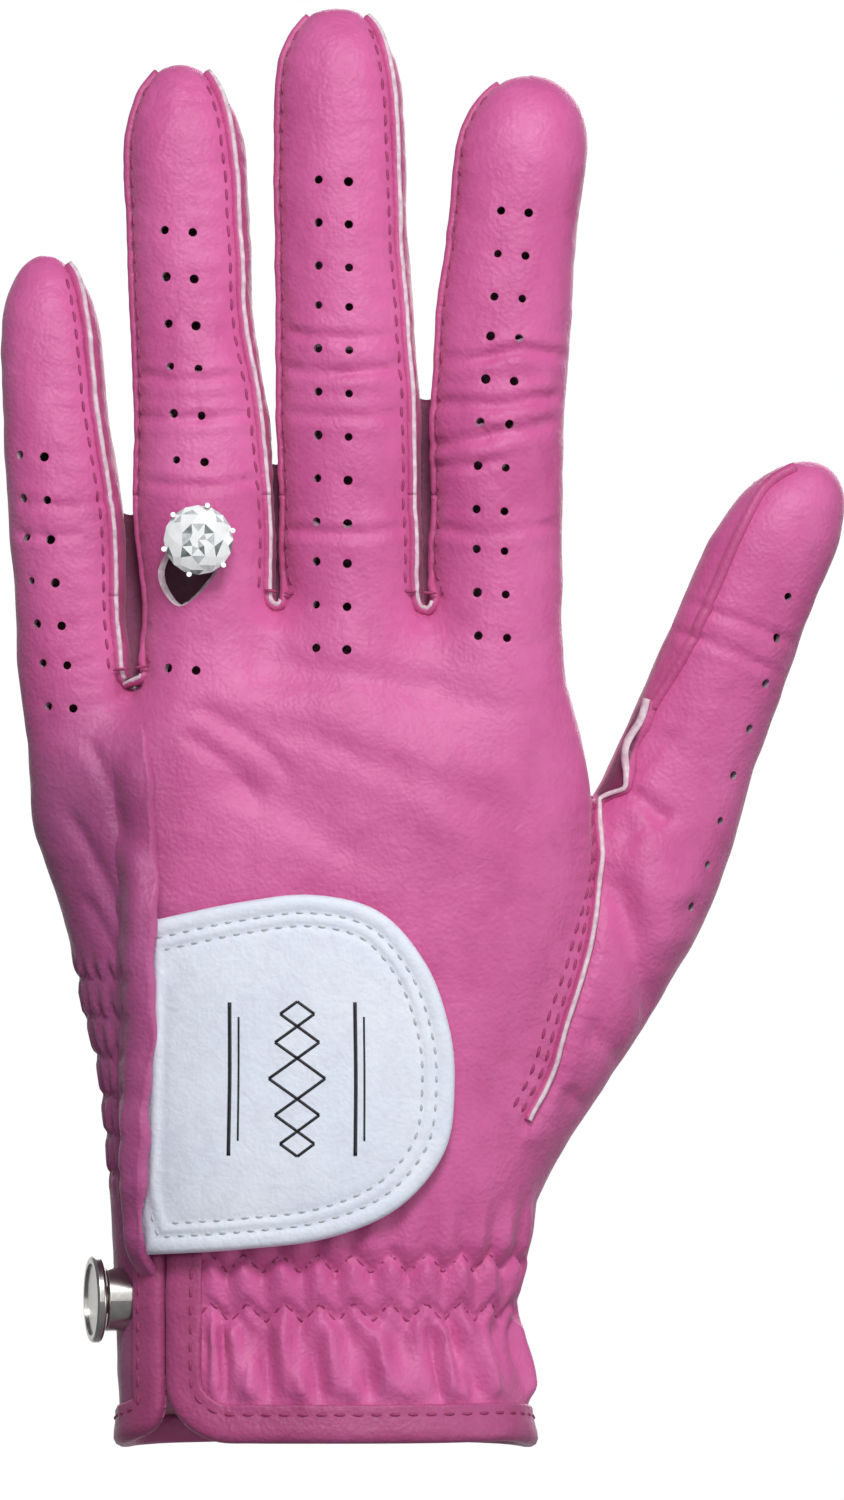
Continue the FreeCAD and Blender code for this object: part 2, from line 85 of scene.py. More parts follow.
# Level sections of each finger: (z, x of its middle, half width, y of its middle, half depth),
# then (z where its tip starts to round, z of the tip), the height of its joint and where its own pieces start.
FINGERS = {
    "little": {
        "sections": [
            (92, -33.2, 6.6, 0.5, 6.6), (104, -34.3, 7.7, 0.5, 7.0), (116, -35.3, 7.7, 0.8, 7.1),
            (128, -35.9, 8.0, 1.2, 7.0), (138, -36.8, 7.6, 2.0, 6.8), (146, -37.4, 7.1, 2.9, 6.4),
        ],
        "tip": (146, 165.5), "hinge": 130.0, "split": 118.0,
    },
    "ring": {
        "sections": [
            (96, -16.4, 8.6, 0.0, 7.8), (110, -16.3, 8.9, 0.0, 8.6), (118, -16.0, 9.0, 0.0, 9.0),
            (127, -16.5, 9.5, 0.0, 9.3), (140, -17.0, 9.3, 0.6, 8.4),
            (155, -18.2, 8.6, 1.8, 7.7), (172, -19.0, 8.4, 3.4, 7.3),
        ],
        "tip": (172, 192.4), "hinge": 143.0, "split": 132.0,
    },
    "middle": {
        "sections": [
            (98, 3.6, 9.2, 0.0, 8.2), (112, 3.8, 9.6, 0.0, 8.5), (125, 3.8, 9.7, 0.2, 8.5),
            (143, 3.4, 9.7, 0.8, 8.4), (160, 2.8, 9.4, 1.8, 8.2), (182, 2.2, 9.0, 3.8, 7.8),
        ],
        "tip": (182, 200.0), "hinge": 148.0, "split": 132.0,
    },
    "index": {
        "sections": [
            (96, 23.2, 9.2, 0.0, 8.2), (110, 23.7, 9.2, 0.0, 8.2), (125, 23.8, 9.0, 0.2, 8.0),
            (143, 24.2, 9.1, 0.8, 8.0), (160, 25.2, 9.2, 1.8, 7.9), (175, 26.8, 9.0, 3.2, 7.6),
        ],
        "tip": (175, 190.7), "hinge": 147.0, "split": 132.0,
    },
    "thumb": {
        "sections": [
            (34, 18.0, 10.0, 5.0, 11.0), (48, 25.5, 12.0, 7.0, 13.0), (62, 34.5, 12.5, 8.5, 13.0),
            (76, 42.2, 12.2, 9.5, 11.5), (90, 48.2, 10.6, 10.0, 9.6), (104, 53.4, 9.6, 9.5, 8.6),
            (120, 60.0, 9.3, 8.5, 8.0),
        ],
        "tip": (120, 136.9),
    },
}
LONG_FINGERS = ("little", "ring", "middle", "index")


def has_strip(name, side):
    """Whether a finger has a strip on a side: the outermost fingers have none on the outside."""
    return (name, side) not in (("little", -1), ("index", 1))

# Level sections of the hand: (z, left edge, right edge, y of its middle, half depth).
HAND = [
    (-8, -28.4, 28.6, 2.0, 18.0), (0, -28.4, 28.6, 2.0, 18.0), (8, -28.6, 27.8, 2.0, 17.4),
    (22, -29.2, 26.4, 2.0, 16.4), (38, -30.0, 28.4, 2.0, 16.6), (55, -32.2, 32.0, 1.6, 15.6),
    (72, -36.0, 36.0, 1.0, 14.4), (86, -39.2, 37.2, 0.5, 13.0),
    (98, -39.8, 35.4, 0.2, 11.2), (106, -36.0, 33.6, 0.0, 9.4),
]
HAND_TOP = (100.0, 117.0)

SLIT_X, SLIT_TOP = -22.0, 84.0
HEM = 0.4
SEAM_RADIAL, SEAM_ULNAR, SEAM_PALM = -4.7, -2.0, 4.6
STRIP_FOOT = 103.0
THUMB_STRIP_FOOT = 91.0
# The thumb piece's edge: down the back of the glove from the crotch, then up its palm, as (x, z).
THUMB_EDGE_BACK = [
    (42.0, 91.3), (40.0, 90.4), (38.3, 89.3), (37.9, 87.2), (38.3, 81.0), (37.5, 74.0), (35.9, 66.7), (33.4, 58.9),
    (31.0, 51.1), (28.0, 45.5),
]
THUMB_EDGE_PALM = [(42.0, 92.0), (35.0, 84.0), (26.5, 72.0), (20.0, 58.0), (18.5, 45.0), (22.0, 36.5), (28.5, 37.5)]


def ease(value, start, end):
    """0 at start, 1 at end, smooth between."""
    t = np.clip((np.asarray(value, float) - start) / (end - start), 0.0, 1.0)
    return t * t * (3 - 2 * t)


def spline(rows, column):
    """A smooth function of z through one column of a section list, straight beyond its ends."""
    z = np.array([row[0] for row in rows], float)
    v = np.array([row[column] for row in rows], float)
    slope = np.gradient(v, z)
    slope[-1] = (v[-1] - v[-2]) / (z[-1] - z[-2])

    def at(q):
        q = np.asarray(q, float)
        k = np.clip(np.searchsorted(z, q) - 1, 0, len(z) - 2)
        h = z[k + 1] - z[k]
        t = np.clip((q - z[k]) / h, 0.0, 1.0)
        inside = (
            (2 * t**3 - 3 * t**2 + 1) * v[k] + (t**3 - 2 * t**2 + t) * h * slope[k]
            + (3 * t**2 - 2 * t**3) * v[k + 1] + (t**3 - t**2) * h * slope[k + 1]
        )
        return inside + np.maximum(q - z[-1], 0.0) * slope[-1] * (column in (1, 3))

    return at


class Tube:
    """A tube of level superellipses with rounded ends, as a field in millimetres, negative inside."""

    def __init__(self, middle_x, half_width, middle_y, half_depth, power, foot, top, drop=lambda x: 0.0):
        self.x, self.hw, self.y, self.hd = middle_x, half_width, middle_y, half_depth
        self.power, self.foot, self.top, self.drop = power, foot, top, drop

    def field(self, p):
        x, y, z = p[..., 0], p[..., 1], p[..., 2]
        hw, hd, n = self.hw(z), self.hd(z), self.power
        u = np.abs(x - self.x(z)) / hw
        v = np.abs(y - self.y(z)) / hd
        r = np.maximum((u**n + v**n) ** (1 / n), 1e-4)
        steep = np.sqrt(((u / r) ** (n - 1) / hw) ** 2 + ((v / r) ** (n - 1) / hd) ** 2)
        over = np.maximum((z + self.drop(x) - self.top[0]) / (self.top[1] - self.top[0]), 0.0)
        under = np.maximum((self.foot[0] - z) / (self.foot[0] - self.foot[1]), 0.0) if self.foot else 0.0
        g = np.sqrt(r**2 + over**CAP_POWER + under**CAP_POWER) - 1.0
        return g / np.maximum(steep, 0.02)

    def half_width_at(self, y, z):
        """Half the width of the level section at z, at the depth y."""
        share = np.clip(np.abs(y - self.y(z)) / self.hd(z), 0, 0.95)
        return self.hw(z) * (1 - share**self.power) ** (1 / self.power)


def finger_tube(name):
    rows = FINGERS[name]["sections"]
    foot = rows[0][0]
    columns = (spline(rows, column) for column in (1, 2, 3, 4))
    return Tube(*columns, FINGER_POWER, (foot, foot - 14.0), FINGERS[name]["tip"])


def hand_tube():
    left, right = spline(HAND, 1), spline(HAND, 2)
    return Tube(
        lambda z: (left(z) + right(z)) / 2, lambda z: (right(z) - left(z)) / 2,
        spline(HAND, 3), spline(HAND, 4), HAND_POWER, None, HAND_TOP,
        lambda x: 9.0 * ease(x, -17.0, -28.0),
    )


TUBES = {name: finger_tube(name) for name in FINGERS}
PALM = hand_tube()


def smooth_min(a, b, k):
    h = np.clip(0.5 + 0.5 * (b - a) / k, 0.0, 1.0)
    return b + (a - b) * h - k * h * (1 - h)


def glove_field(p):
    """The whole glove: fingers side by side, joined to the hand with soft webs, and the thumb."""
    fingers = TUBES["little"].field(p)
    for name in LONG_FINGERS[1:]:
        fingers = smooth_min(fingers, TUBES[name].field(p), 0.5)
    body = smooth_min(PALM.field(p), fingers, 3.0)
    return smooth_min(body, TUBES["thumb"].field(p), 5.0)


SLOPE_REACH = 0.05


def slope_of(p):
    """Unit normals of the field and its steepness, by differences."""
    grad = np.empty_like(p)
    for axis in range(3):
        shift = np.zeros(3)
        shift[axis] = SLOPE_REACH
        grad[:, axis] = glove_field(p + shift) - glove_field(p - shift)
    size = np.linalg.norm(grad, axis=1)
    return grad / np.maximum(size, 1e-9)[:, None], size / (2 * SLOPE_REACH)


def settle(p, turns):
    """Moves points onto the surface."""
    p = p.copy()
    for _ in range(turns):
        normal, steep = slope_of(p)
        move = np.clip(glove_field(p) / np.maximum(steep, 0.3), -1.5, 1.5)
        p -= normal * move[:, None]
    return p


# --- the surface as a mesh ----------------------------------------------------------------------------------------
def surface_net(values, origin, step):
    """Quads around the zero of a gridded field, one vertex per cell that the surface passes through."""
    inside = values < 0
    shape = np.array(values.shape)
    cells = tuple(shape - 1)
    count = np.zeros(cells, int)
    place = np.zeros(cells + (3,))
    corner_count = np.zeros(cells, int)
    corners = [(i, j, k) for i in (0, 1) for j in (0, 1) for k in (0, 1)]

    def window(array, c):
        return array[tuple(slice(c[i], shape[i] - 1 + c[i]) for i in range(3))]

    for c in corners:
        corner_count += window(inside, c)
    for a in corners:
        for axis in range(3):
            if a[axis]:
                continue
            b = tuple(v + (i == axis) for i, v in enumerate(a))
            va, vb = window(values, a), window(values, b)
            crossing = (va < 0) != (vb < 0)
            t = np.where(crossing, va / np.where(crossing, va - vb, 1.0), 0.0)
            for i in range(3):
                place[..., i] += np.where(crossing, a[i] + (t if i == axis else 0.0), 0.0)
            count += crossing
    active = (corner_count > 0) & (corner_count < 8)
    index = np.full(cells, -1)
    index[active] = np.arange(active.sum())
    base = np.argwhere(active)
    points = origin + step * (base + place[active] / count[active][:, None])
    quads = []
    for axis in range(3):
        u, v = (axis + 1) % 3, (axis + 2) % 3
        low = [slice(None)] * 3
        high = [slice(None)] * 3
        low[axis], high[axis] = slice(0, -1), slice(1, None)
        a, b = inside[tuple(low)], inside[tuple(high)]
        for flip, edges in ((False, a & ~b), (True, ~a & b)):
            at = np.argwhere(edges)
            keep = (at[:, u] > 0) & (at[:, v] > 0) & (at[:, u] < cells[u]) & (at[:, v] < cells[v])
            at = at[keep]
            du, dv = np.zeros(3, int), np.zeros(3, int)
            du[u], dv[v] = 1, 1
            ring = [at - du - dv, at - dv, at, at - du]
            ids = np.stack([index[tuple(r.T)] for r in ring], axis=1)
            quads.append(ids[:, ::-1] if flip else ids)
    return points, np.concatenate(quads)


def divide_quads(points, quads):
    """Each quad becomes four."""
    edges = np.sort(np.stack([quads, np.roll(quads, -1, axis=1)], axis=2).reshape(-1, 2), axis=1)
    unique, where = np.unique(edges, axis=0, return_inverse=True)
    where = where.reshape(-1, 4) + len(points)
    centre = np.arange(len(quads)) + len(points) + len(unique)
    added = np.concatenate([points[unique].mean(axis=1), points[quads].mean(axis=1)])
    parts = [np.stack([quads[:, k], where[:, k], centre, where[:, k - 1]], axis=1) for k in range(4)]
    return np.concatenate([points, added]), np.concatenate(parts)


def glove_surface():
    low, high = np.array([-50.0, -26.0, -3.8]), np.array([76.0, 31.0, 204.0])
    size = np.ceil((high - low) / STEP).astype(int) + 1
    axes = [low[i] + STEP * np.arange(size[i]) for i in range(3)]
    grid = np.stack(np.meshgrid(*axes, indexing="ij"), axis=-1)
    points, quads = surface_net(glove_field(grid), low, STEP)
    points = settle(points, 2)
    points, quads = divide_quads(points, quads)
    return settle(points, 3), quads


# --- curves on the surface ----------------------------------------------------------------------------------------
def length_along(points):
    """The length of a run of points up to each of them."""
    return np.concatenate([[0], np.cumsum(np.linalg.norm(np.diff(points, axis=0), axis=1))])


def even_curve(points, pitch, closed=False):
    """Points spaced evenly along a smooth curve through the given ones."""
    pts = np.array(points, float)
    if closed:
        pts = np.concatenate([pts[-1:], pts, pts[:2]])
    else:
        pts = np.concatenate([2 * pts[:1] - pts[1:2], pts, 2 * pts[-1:] - pts[-2:-1]])
    fine = []
    for p0, p1, p2, p3 in zip(pts, pts[1:], pts[2:], pts[3:]):
        count = max(2, int(np.linalg.norm(p2 - p1) / 0.25))
        t = np.linspace(0, 1, count, endpoint=False)[:, None]
        fine.append(
            0.5 * (2 * p1 + (p2 - p0) * t + (2 * p0 - 5 * p1 + 4 * p2 - p3) * t**2 + (3 * p1 - p0 - 3 * p2 + p3) * t**3)
        )
    fine = np.concatenate(fine + [pts[-2:-1]])
    along = length_along(fine)
    count = max(2, int(round(along[-1] / pitch)) + 1)
    want = np.linspace(0, along[-1], count)
    return np.stack([np.interp(want, along, fine[:, i]) for i in range(fine.shape[1])], axis=1)


def line_distance(x, z, line):
    """(distance, side, share along) of points from a polyline in the x-z plane.

    Side is positive to the right of its run.
    """
    q = np.stack([x, z], axis=-1)
    best = np.full(x.shape, 1e9)
    side = np.zeros(x.shape)
    along = np.zeros(x.shape)
    line = np.array(line, float)
    lengths = np.linalg.norm(np.diff(line, axis=0), axis=1)
    start = 0.0
    for a, b, length in zip(line, line[1:], lengths):
        d = (b - a) / length
        rel = q - a
        t = np.clip(rel @ d, 0.0, length)
        gap = rel - t[..., None] * d
        dist = np.linalg.norm(gap, axis=-1)
        nearer = dist < best
        best = np.where(nearer, dist, best)
        side = np.where(nearer, rel[..., 0] * d[1] - rel[..., 1] * d[0], side)
        along = np.where(nearer, (start + t) / lengths.sum(), along)
        start += length
    return best, side, along


def on_face(x, z, back=True):
    """The point of the back (or of the palm) at x and z."""
    x, z = np.broadcast_arrays(np.asarray(x, float), np.asarray(z, float))
    far, near = (-30.0, 4.0) if back else (34.0, 2.0)
    outer = np.full(x.shape, far)
    inner = np.full(x.shape, near)
    for share in np.linspace(0, 1, 25)[1:]:  # the first crossing from outside
        y = far + (near - far) * share
        inside = glove_field(np.stack([x, np.full(x.shape, y), z], -1)) < 0
        fresh = inside & (inner == near)
        inner = np.where(fresh, y, inner)
        outer = np.where(fresh, far + (near - far) * (share - 1 / 24), outer)
    for _ in range(12):
        y = (outer + inner) / 2
        inside = glove_field(np.stack([x, y, z], -1)) < 0
        inner, outer = np.where(inside, y, inner), np.where(inside, outer, y)
    return np.stack([x, (outer + inner) / 2, z], -1)


# --- noise --------------------------------------------------------------------------------------------------------
LATTICE = np.random.default_rng(11).random((24, 24, 24))


def noise(p, size, shift=0.0):
    """Smooth noise between -1 and 1, with features of the given size."""
    q = p / size + shift
    cell = np.floor(q).astype(int)
    t = q - cell
    t = t * t * (3 - 2 * t)
    total = 0.0
    for i in (0, 1):
        for j in (0, 1):
            for k in (0, 1):
                weight = np.abs(1 - i - t[..., 0]) * np.abs(1 - j - t[..., 1]) * np.abs(1 - k - t[..., 2])
                corner = (cell + (i, j, k)) % 24
                total = total + weight * LATTICE[corner[..., 0], corner[..., 1], corner[..., 2]]
    return 2 * total - 1


def tip_closing(name, z):
    """1 along a finger, falling to 0 at its tip, where the strips' seams meet."""
    tip = FINGERS[name]["tip"][1]
    return np.sqrt(np.maximum(1 - np.clip((z - tip + 14) / 13, 0, 1) ** 2, 0))


# --- relief: gathers, creases, folds and seams, as height above the plain surface ---------------------------------
# Creases on the backs of the fingers: (points from the little-finger side, depth, width).
BACK_CREASES = [
    ([(15.5, 151.0), (20.5, 150.6), (27.5, 152.0), (34.5, 151.0)], 0.55, 0.75),
    ([(14.5, 145.0), (20.0, 144.4), (27.5, 144.8), (33.5, 146.0)], 0.50, 0.80),
    ([(14.5, 139.0), (23.6, 140.2), (33.0, 142.2)], 0.60, 0.85),
    ([(14.5, 136.2), (20.0, 136.0), (25.5, 137.4)], 0.35, 0.60),
    ([(14.5, 127.6), (23.0, 126.6), (33.0, 128.2)], 0.32, 0.70),
    ([(-6.0, 154.8), (3.0, 153.4), (11.0, 154.6)], 0.42, 0.70),
    ([(-6.0, 149.6), (1.0, 148.8), (11.5, 149.6)], 0.48, 0.75),
    ([(-6.0, 143.4), (3.0, 142.6), (11.5, 143.4)], 0.36, 0.70),
    ([(-6.0, 127.4), (3.5, 126.4), (12.0, 127.6)], 0.30, 0.70),
    ([(-26.0, 134.2), (-17.0, 132.8), (-9.0, 134.0)], 0.36, 0.70),
    ([(-26.5, 148.8), (-18.5, 147.6), (-10.5, 149.0)], 0.30, 0.65),
    ([(-26.5, 142.8), (-17.5, 142.4), (-9.5, 143.2)], 0.30, 0.65),
    ([(-43.5, 131.4), (-36.5, 130.2), (-29.5, 131.4)], 0.34, 0.65),
    ([(-43.5, 127.0), (-38.5, 126.2), (-33.0, 126.8)], 0.22, 0.60),
    ([(47.5, 113.5), (55.5, 110.8), (64.0, 106.8)], 0.26, 0.70),
    ([(49.5, 117.5), (58.0, 114.4), (66.5, 111.0)], 0.22, 0.65),
]
# Long soft folds over the back of the hand and the root of the thumb: (points, height, width).
BACK_FOLDS = [
    ([(-20.0, 104.0), (-6.0, 102.5), (12.0, 97.0), (31.0, 90.0)], 0.55, 3.2),
    ([(-17.0, 98.5), (0.0, 94.0), (17.0, 87.0), (29.0, 78.0)], 0.42, 3.0),
    ([(-15.0, 111.0), (-2.0, 108.0), (16.0, 104.5), (32.0, 101.0)], -0.45, 2.4),
    ([(-19.0, 94.0), (-4.0, 88.0), (8.0, 80.0)], -0.35, 2.4),
    ([(-19.5, 103.5), (-10.0, 98.0), (-3.0, 91.0)], -0.40, 1.3),
    ([(-20.5, 99.0), (-13.0, 94.5), (-8.0, 88.0)], -0.34, 1.1),
    ([(38.9, 82.0), (41.5, 74.0), (44.6, 64.0), (46.0, 56.0)], -0.90, 2.0),
    ([(41.5, 84.0), (46.5, 74.0), (49.0, 66.0)], 0.70, 3.0),
    ([(42.3, 91.6), (45.2, 88.8), (48.2, 86.0)], -0.75, 1.4),
    ([(43.5, 85.5), (47.5, 80.5), (50.0, 74.5)], 0.55, 2.6),
    ([(-33.0, 99.0), (-29.5, 92.0), (-27.5, 83.0)], -0.45, 1.1),
    ([(-36.5, 89.0), (-31.0, 80.0), (-27.0, 69.0)], -0.50, 1.2),
    ([(-34.0, 78.0), (-30.0, 71.0), (-26.0, 64.0)], -0.40, 1.0),
    ([(35.5, 60.0), (40.5, 54.5), (44.5, 50.0)], -0.35, 1.6),
    ([(32.0, 50.0), (37.0, 47.0), (42.0, 46.0)], -0.30, 1.4),
    ([(41.5, 92.0), (46.0, 97.0), (50.0, 99.0)], -0.35, 1.2),
]
KNUCKLE_BUMPS = [(-34.0, 97.0, 0.5), (-17.0, 103.0, 0.7), (4.0, 105.0, 0.9), (23.5, 103.0, 0.9)]
PALM_FOLDS = [
    ([(-38.0, 94.0), (-15.0, 90.0), (8.0, 93.0), (24.0, 101.0)], -0.55, 1.2),
    ([(36.0, 88.0), (20.0, 80.0), (-2.0, 72.0), (-24.0, 60.0)], -0.50, 1.3),
    ([(24.0, 86.0), (10.0, 70.0), (6.0, 50.0), (9.0, 34.0)], -0.60, 1.5),
    ([(-12.0, 84.0), (-8.0, 60.0), (-4.0, 40.0)], -0.30, 1.3),
]
GATHER_ROWS = (26.0, 19.4)
GATHER_PERIOD = 5.0
GATHER_SWING = 1.35
SIDE_ROWS = np.arange(38.5, 66.0, 5.4)
SIDE_PERIOD, SIDE_SWING = 4.2, 0.9
PUCKER_PERIOD = 2.9
SEAM_VALLEY = 0.8  # half the width of the valley that a seam draws into the leather


def around_wrist(angle, z):
    """The plain surface of the hand at an angle about its middle: 0 at the thumb's side, 90 degrees at the palm."""
    c, s = np.cos(angle), np.sin(angle)
    x = PALM.x(z) + PALM.hw(z) * np.sign(c) * np.abs(c) ** (2 / HAND_POWER)
    y = PALM.y(z) + PALM.hd(z) * np.sign(s) * np.abs(s) ** (2 / HAND_POWER)
    return np.stack(np.broadcast_arrays(x, y, z), axis=-1)


WRIST_ANGLES = np.linspace(-math.pi, math.pi, 1441)
WRIST_ARC = length_along(around_wrist(WRIST_ANGLES, np.full(len(WRIST_ANGLES), 20.0)))


def wrist_arc(p):
    """How far round the wrist a point is, in millimetres from the little-finger side by way of the back."""
    u = (p[..., 0] - PALM.x(p[..., 2])) / PALM.hw(p[..., 2])
    v = (p[..., 1] - PALM.y(p[..., 2])) / PALM.hd(p[..., 2])
    c = np.sign(u) * np.abs(u) ** (HAND_POWER / 2)
    s = np.sign(v) * np.abs(v) ** (HAND_POWER / 2)
    return np.interp(np.arctan2(s, c), WRIST_ANGLES, WRIST_ARC)


def zigzag(arc, period=GATHER_PERIOD, swing=GATHER_SWING):
    phase = np.mod(arc / period, 1.0)
    return swing * (1 - 4 * np.abs(phase - 0.5))


def gather_jitter(arc, z):
    """How far a gather strays round the wrist from its even place."""
    return 0.5 * noise(np.stack([arc, 0 * arc, z], -1), 7.0, 1.0)


def bump(distance, width):
    return np.exp(-((distance / width) ** 2))


def creases(p, items, weight):
    """Narrow valleys, with the leather puffed up on both sides."""
    total = np.zeros(len(p))
    for points, depth, width in items:
        line = even_curve(points, 3.0)
        distance, _, along = line_distance(p[:, 0], p[:, 2] + 0.25 * noise(p, 2.6, 5.0), line)
        ends = ease(along, 0.0, 0.12) * ease(along, 1.0, 0.88)
        uneven = 0.75 + 0.45 * noise(p, 4.0, 9.3)
        total += ends * uneven * depth * (0.42 * bump(distance - 2.1 * width, 1.3 * width) - bump(distance, width))
    return total * weight


def folds(p, items, weight):
    total = np.zeros(len(p))
    for points, height, width in items:
        line = even_curve(points, 4.0)
        distance, _, along = line_distance(p[:, 0], p[:, 2] + 0.8 * noise(p, 7.0, 2.0), line)
        total += height * ease(along, 0.0, 0.2) * ease(along, 1.0, 0.75) * bump(distance, width)
    return total * weight


def finger_seams(p):
    """Valleys along the fingers' seams, with small puckers that fade away from them."""
    x, y, z = p[:, 0], p[:, 1], p[:, 2]
    total = np.zeros(len(p))
    for number, name in enumerate(LONG_FINGERS):
        tube = TUBES[name]
        tip = FINGERS[name]["tip"][1]
        here = (np.abs(x - tube.x(z)) < tube.hw(z) + 1.5) & (z > STRIP_FOOT - 2) & (z < tip + 1)
        closing = tip_closing(name, z)
        pucker = np.cos(2 * math.pi * z / PUCKER_PERIOD + 1.7 * number + noise(p, 6.0, 4.0) * 2.0)
        for side, back in ((1, SEAM_RADIAL), (-1, SEAM_ULNAR)):
            if not has_strip(name, side):
                continue
            on_side = here & ((x - tube.x(z)) * side > 0)
            for seam, strength in ((back, 1.0), (SEAM_PALM, 0.8)):
                away = y - (tube.y(z) + seam * closing)
                height = -0.32 * bump(away, 0.7) + 0.06 * pucker * bump(np.abs(away) - 1.6, 1.5)
                total += np.where(on_side, strength * height, 0.0)
    return total


def cuff(p):
    """The gathered wrist: puffed cells between zigzag rows, and loose pleats down to the hem."""
    x, y, z = p[:, 0], p[:, 1], p[:, 2]
    arc = wrist_arc(p)
    back = ease(y, 4.0, -3.0) * ease(x, -27.0, -22.0)
    palm = ease(y, 6.0, 12.0) * ease(np.abs(x), 24.0, 18.0)
    span = (back + 0.8 * palm) * ease(edge_distance(p), 3.4, 6.6)
    strayed = arc + gather_jitter(arc, z)
    total = np.zeros(len(p))
    for row in GATHER_ROWS:
        total += -1.05 * bump(z - row - zigzag(strayed), 0.95)
    phase = 2 * math.pi * strayed / GATHER_PERIOD
    between = ease(z, 18.0, 21.0) * ease(z, 28.0, 25.0)
    total += 0.75 * between * (0.35 - 0.65 * np.cos(phase))
    above = ease(z, 26.5, 28.5) * ease(z, 37.0, 29.5)
    total += 0.65 * above * (0.3 + 0.7 * np.cos(phase + 0.4))
    fan = ease(z, 5.0, 9.0) * ease(z, 19.5, 16.0)
    slow = noise(np.stack([arc, 0 * arc, 0 * z], -1), 5.2, 3.0)
    lean = 0.32 * slow * (z - 12.0)
    total += fan * (0.95 * np.cos(phase * 0.72 + 2.4 * slow + lean) + 0.4 * np.cos(phase * 1.37 + 3 * slow - lean))
    total += 0.5 * ease(z, 15.0, 9.0)
    return total * span


def side_arc(p):
    """How far along a row of the side gathers a point is."""
    return p[:, 1] * 1.3 - p[:, 0]


def side_shirring(p):
    """Faint zigzag rows on the little-finger side, over the side elastic."""
    x, y, z = p[:, 0], p[:, 1], p[:, 2]
    span = ease(x, -22.5, -25.0) * ease(y, 9.0, 4.0) * ease(z, 34.0, 38.0) * ease(z, 70.0, 66.0)
    total = np.zeros(len(p))
    for row in SIDE_ROWS:
        total += -0.6 * bump(z - row - zigzag(side_arc(p), SIDE_PERIOD, SIDE_SWING), 0.75)
    return span * (total + 0.22 * np.cos(2 * math.pi * side_arc(p) / SIDE_PERIOD) + 0.1)


def thumb_seam(p):
    """The valley round the thumb piece, with the leather beside it drawn up by the stitches."""
    x, y, z = p[:, 0], p[:, 1], p[:, 2]
    distance, side, along = line_distance(x, z, even_curve(THUMB_EDGE_BACK, 2.0))
    height = 0.34 * bump(distance - 2.2, 1.4) * (side < 0) - 0.5 * bump(distance, SEAM_VALLEY)
    height += 0.07 * np.cos(2 * math.pi * along * 21) * bump(distance - 2.0, 1.6)
    total = ease(y, 7.0, 1.0) * height
    distance, _, along = line_distance(x, z, even_curve(THUMB_EDGE_PALM, 2.0))
    return total + ease(y, 4.0, 9.0) * (0.2 * bump(distance - 2.0, 1.2) - 0.4 * bump(distance, SEAM_VALLEY))


def relief(p, normal):
    """Height of the finished leather over the plain surface."""
    x, z = p[:, 0], p[:, 2]
    back = ease(-normal[:, 1], 0.02, 0.4)
    palm = ease(normal[:, 1], 0.02, 0.4)
    total = 0.34 * noise(p, 13.0) + 0.20 * noise(p, 5.5, 3.1) + 0.09 * noise(p, 2.4, 7.7)
    total += 1.5 * creases(p, BACK_CREASES, back) + 1.5 * folds(p, BACK_FOLDS, back) + folds(p, PALM_FOLDS, palm)
    for bx, bz, height in KNUCKLE_BUMPS:
        total += back * height * bump(np.hypot(x - bx, (z - bz) * 0.8), 7.0)
    for name in LONG_FINGERS:
        tube, hinge = TUBES[name], FINGERS[name]["hinge"]
        near = ease(np.abs(x - tube.x(z)), tube.hw(z) + 1.0, tube.hw(z) - 1.0)
        uneven = 0.3 * noise(p, 6.0, 4.4)
        for level, depth in ((hinge - 1.5, 0.7), (hinge + 2.0, 0.45), (hinge - 24.0, 0.5), (hinge + 22.0, 0.35)):
            total -= palm * near * depth * bump(z - level - 4 * uneven, 0.9)
    total += finger_seams(p) + cuff(p) + side_shirring(p) + thumb_seam(p)
    return total


def skin(p):
    """(points on the finished leather, their normals) for points near it."""
    p = settle(np.atleast_2d(np.asarray(p, float)), 4)
    normal, _ = slope_of(p)
    return p + normal * relief(p, normal)[:, None], normal


# --- cutting the skin into panels ---------------------------------------------------------------------------------
SNAP_STEP = 0.02


def hem_level(y):
    """The hem dips towards the palm."""
    return HEM + 1.9 * ease(y, 8.0, -12.0)


def corner(a, b, radius):
    """Inward distance from two edges that meet in a rounded corner."""
    rounded = radius - np.hypot(np.maximum(radius - a, 0), np.maximum(radius - b, 0))
    return np.where((a < radius) & (b < radius), rounded, np.minimum(a, b))


def slit_x(z):
    """The slit leans under the fold above the tab."""
    return SLIT_X - 2.6 * ease(z, 68.5, 75.0)


def edge_distance(p):
    """How far inside the glove's own edges a point is: the hem and both sides of the slit."""
    x, y, z = p[:, 0], p[:, 1], p[:, 2]
    up = z - hem_level(y)
    right = x > slit_x(z)
    beside = np.abs(x - slit_x(z)) - 0.8
    beside = np.where((y < 0) & (z < SLIT_TOP), beside, FAR)
    return np.where(right, corner(beside, up, 8.0), corner(beside, up, 4.5))


def inside_line(x, z, line):
    """Signed distance to a polyline, positive to its right."""
    distance, side, _ = line_distance(x, z, line)
    return distance * np.sign(side)


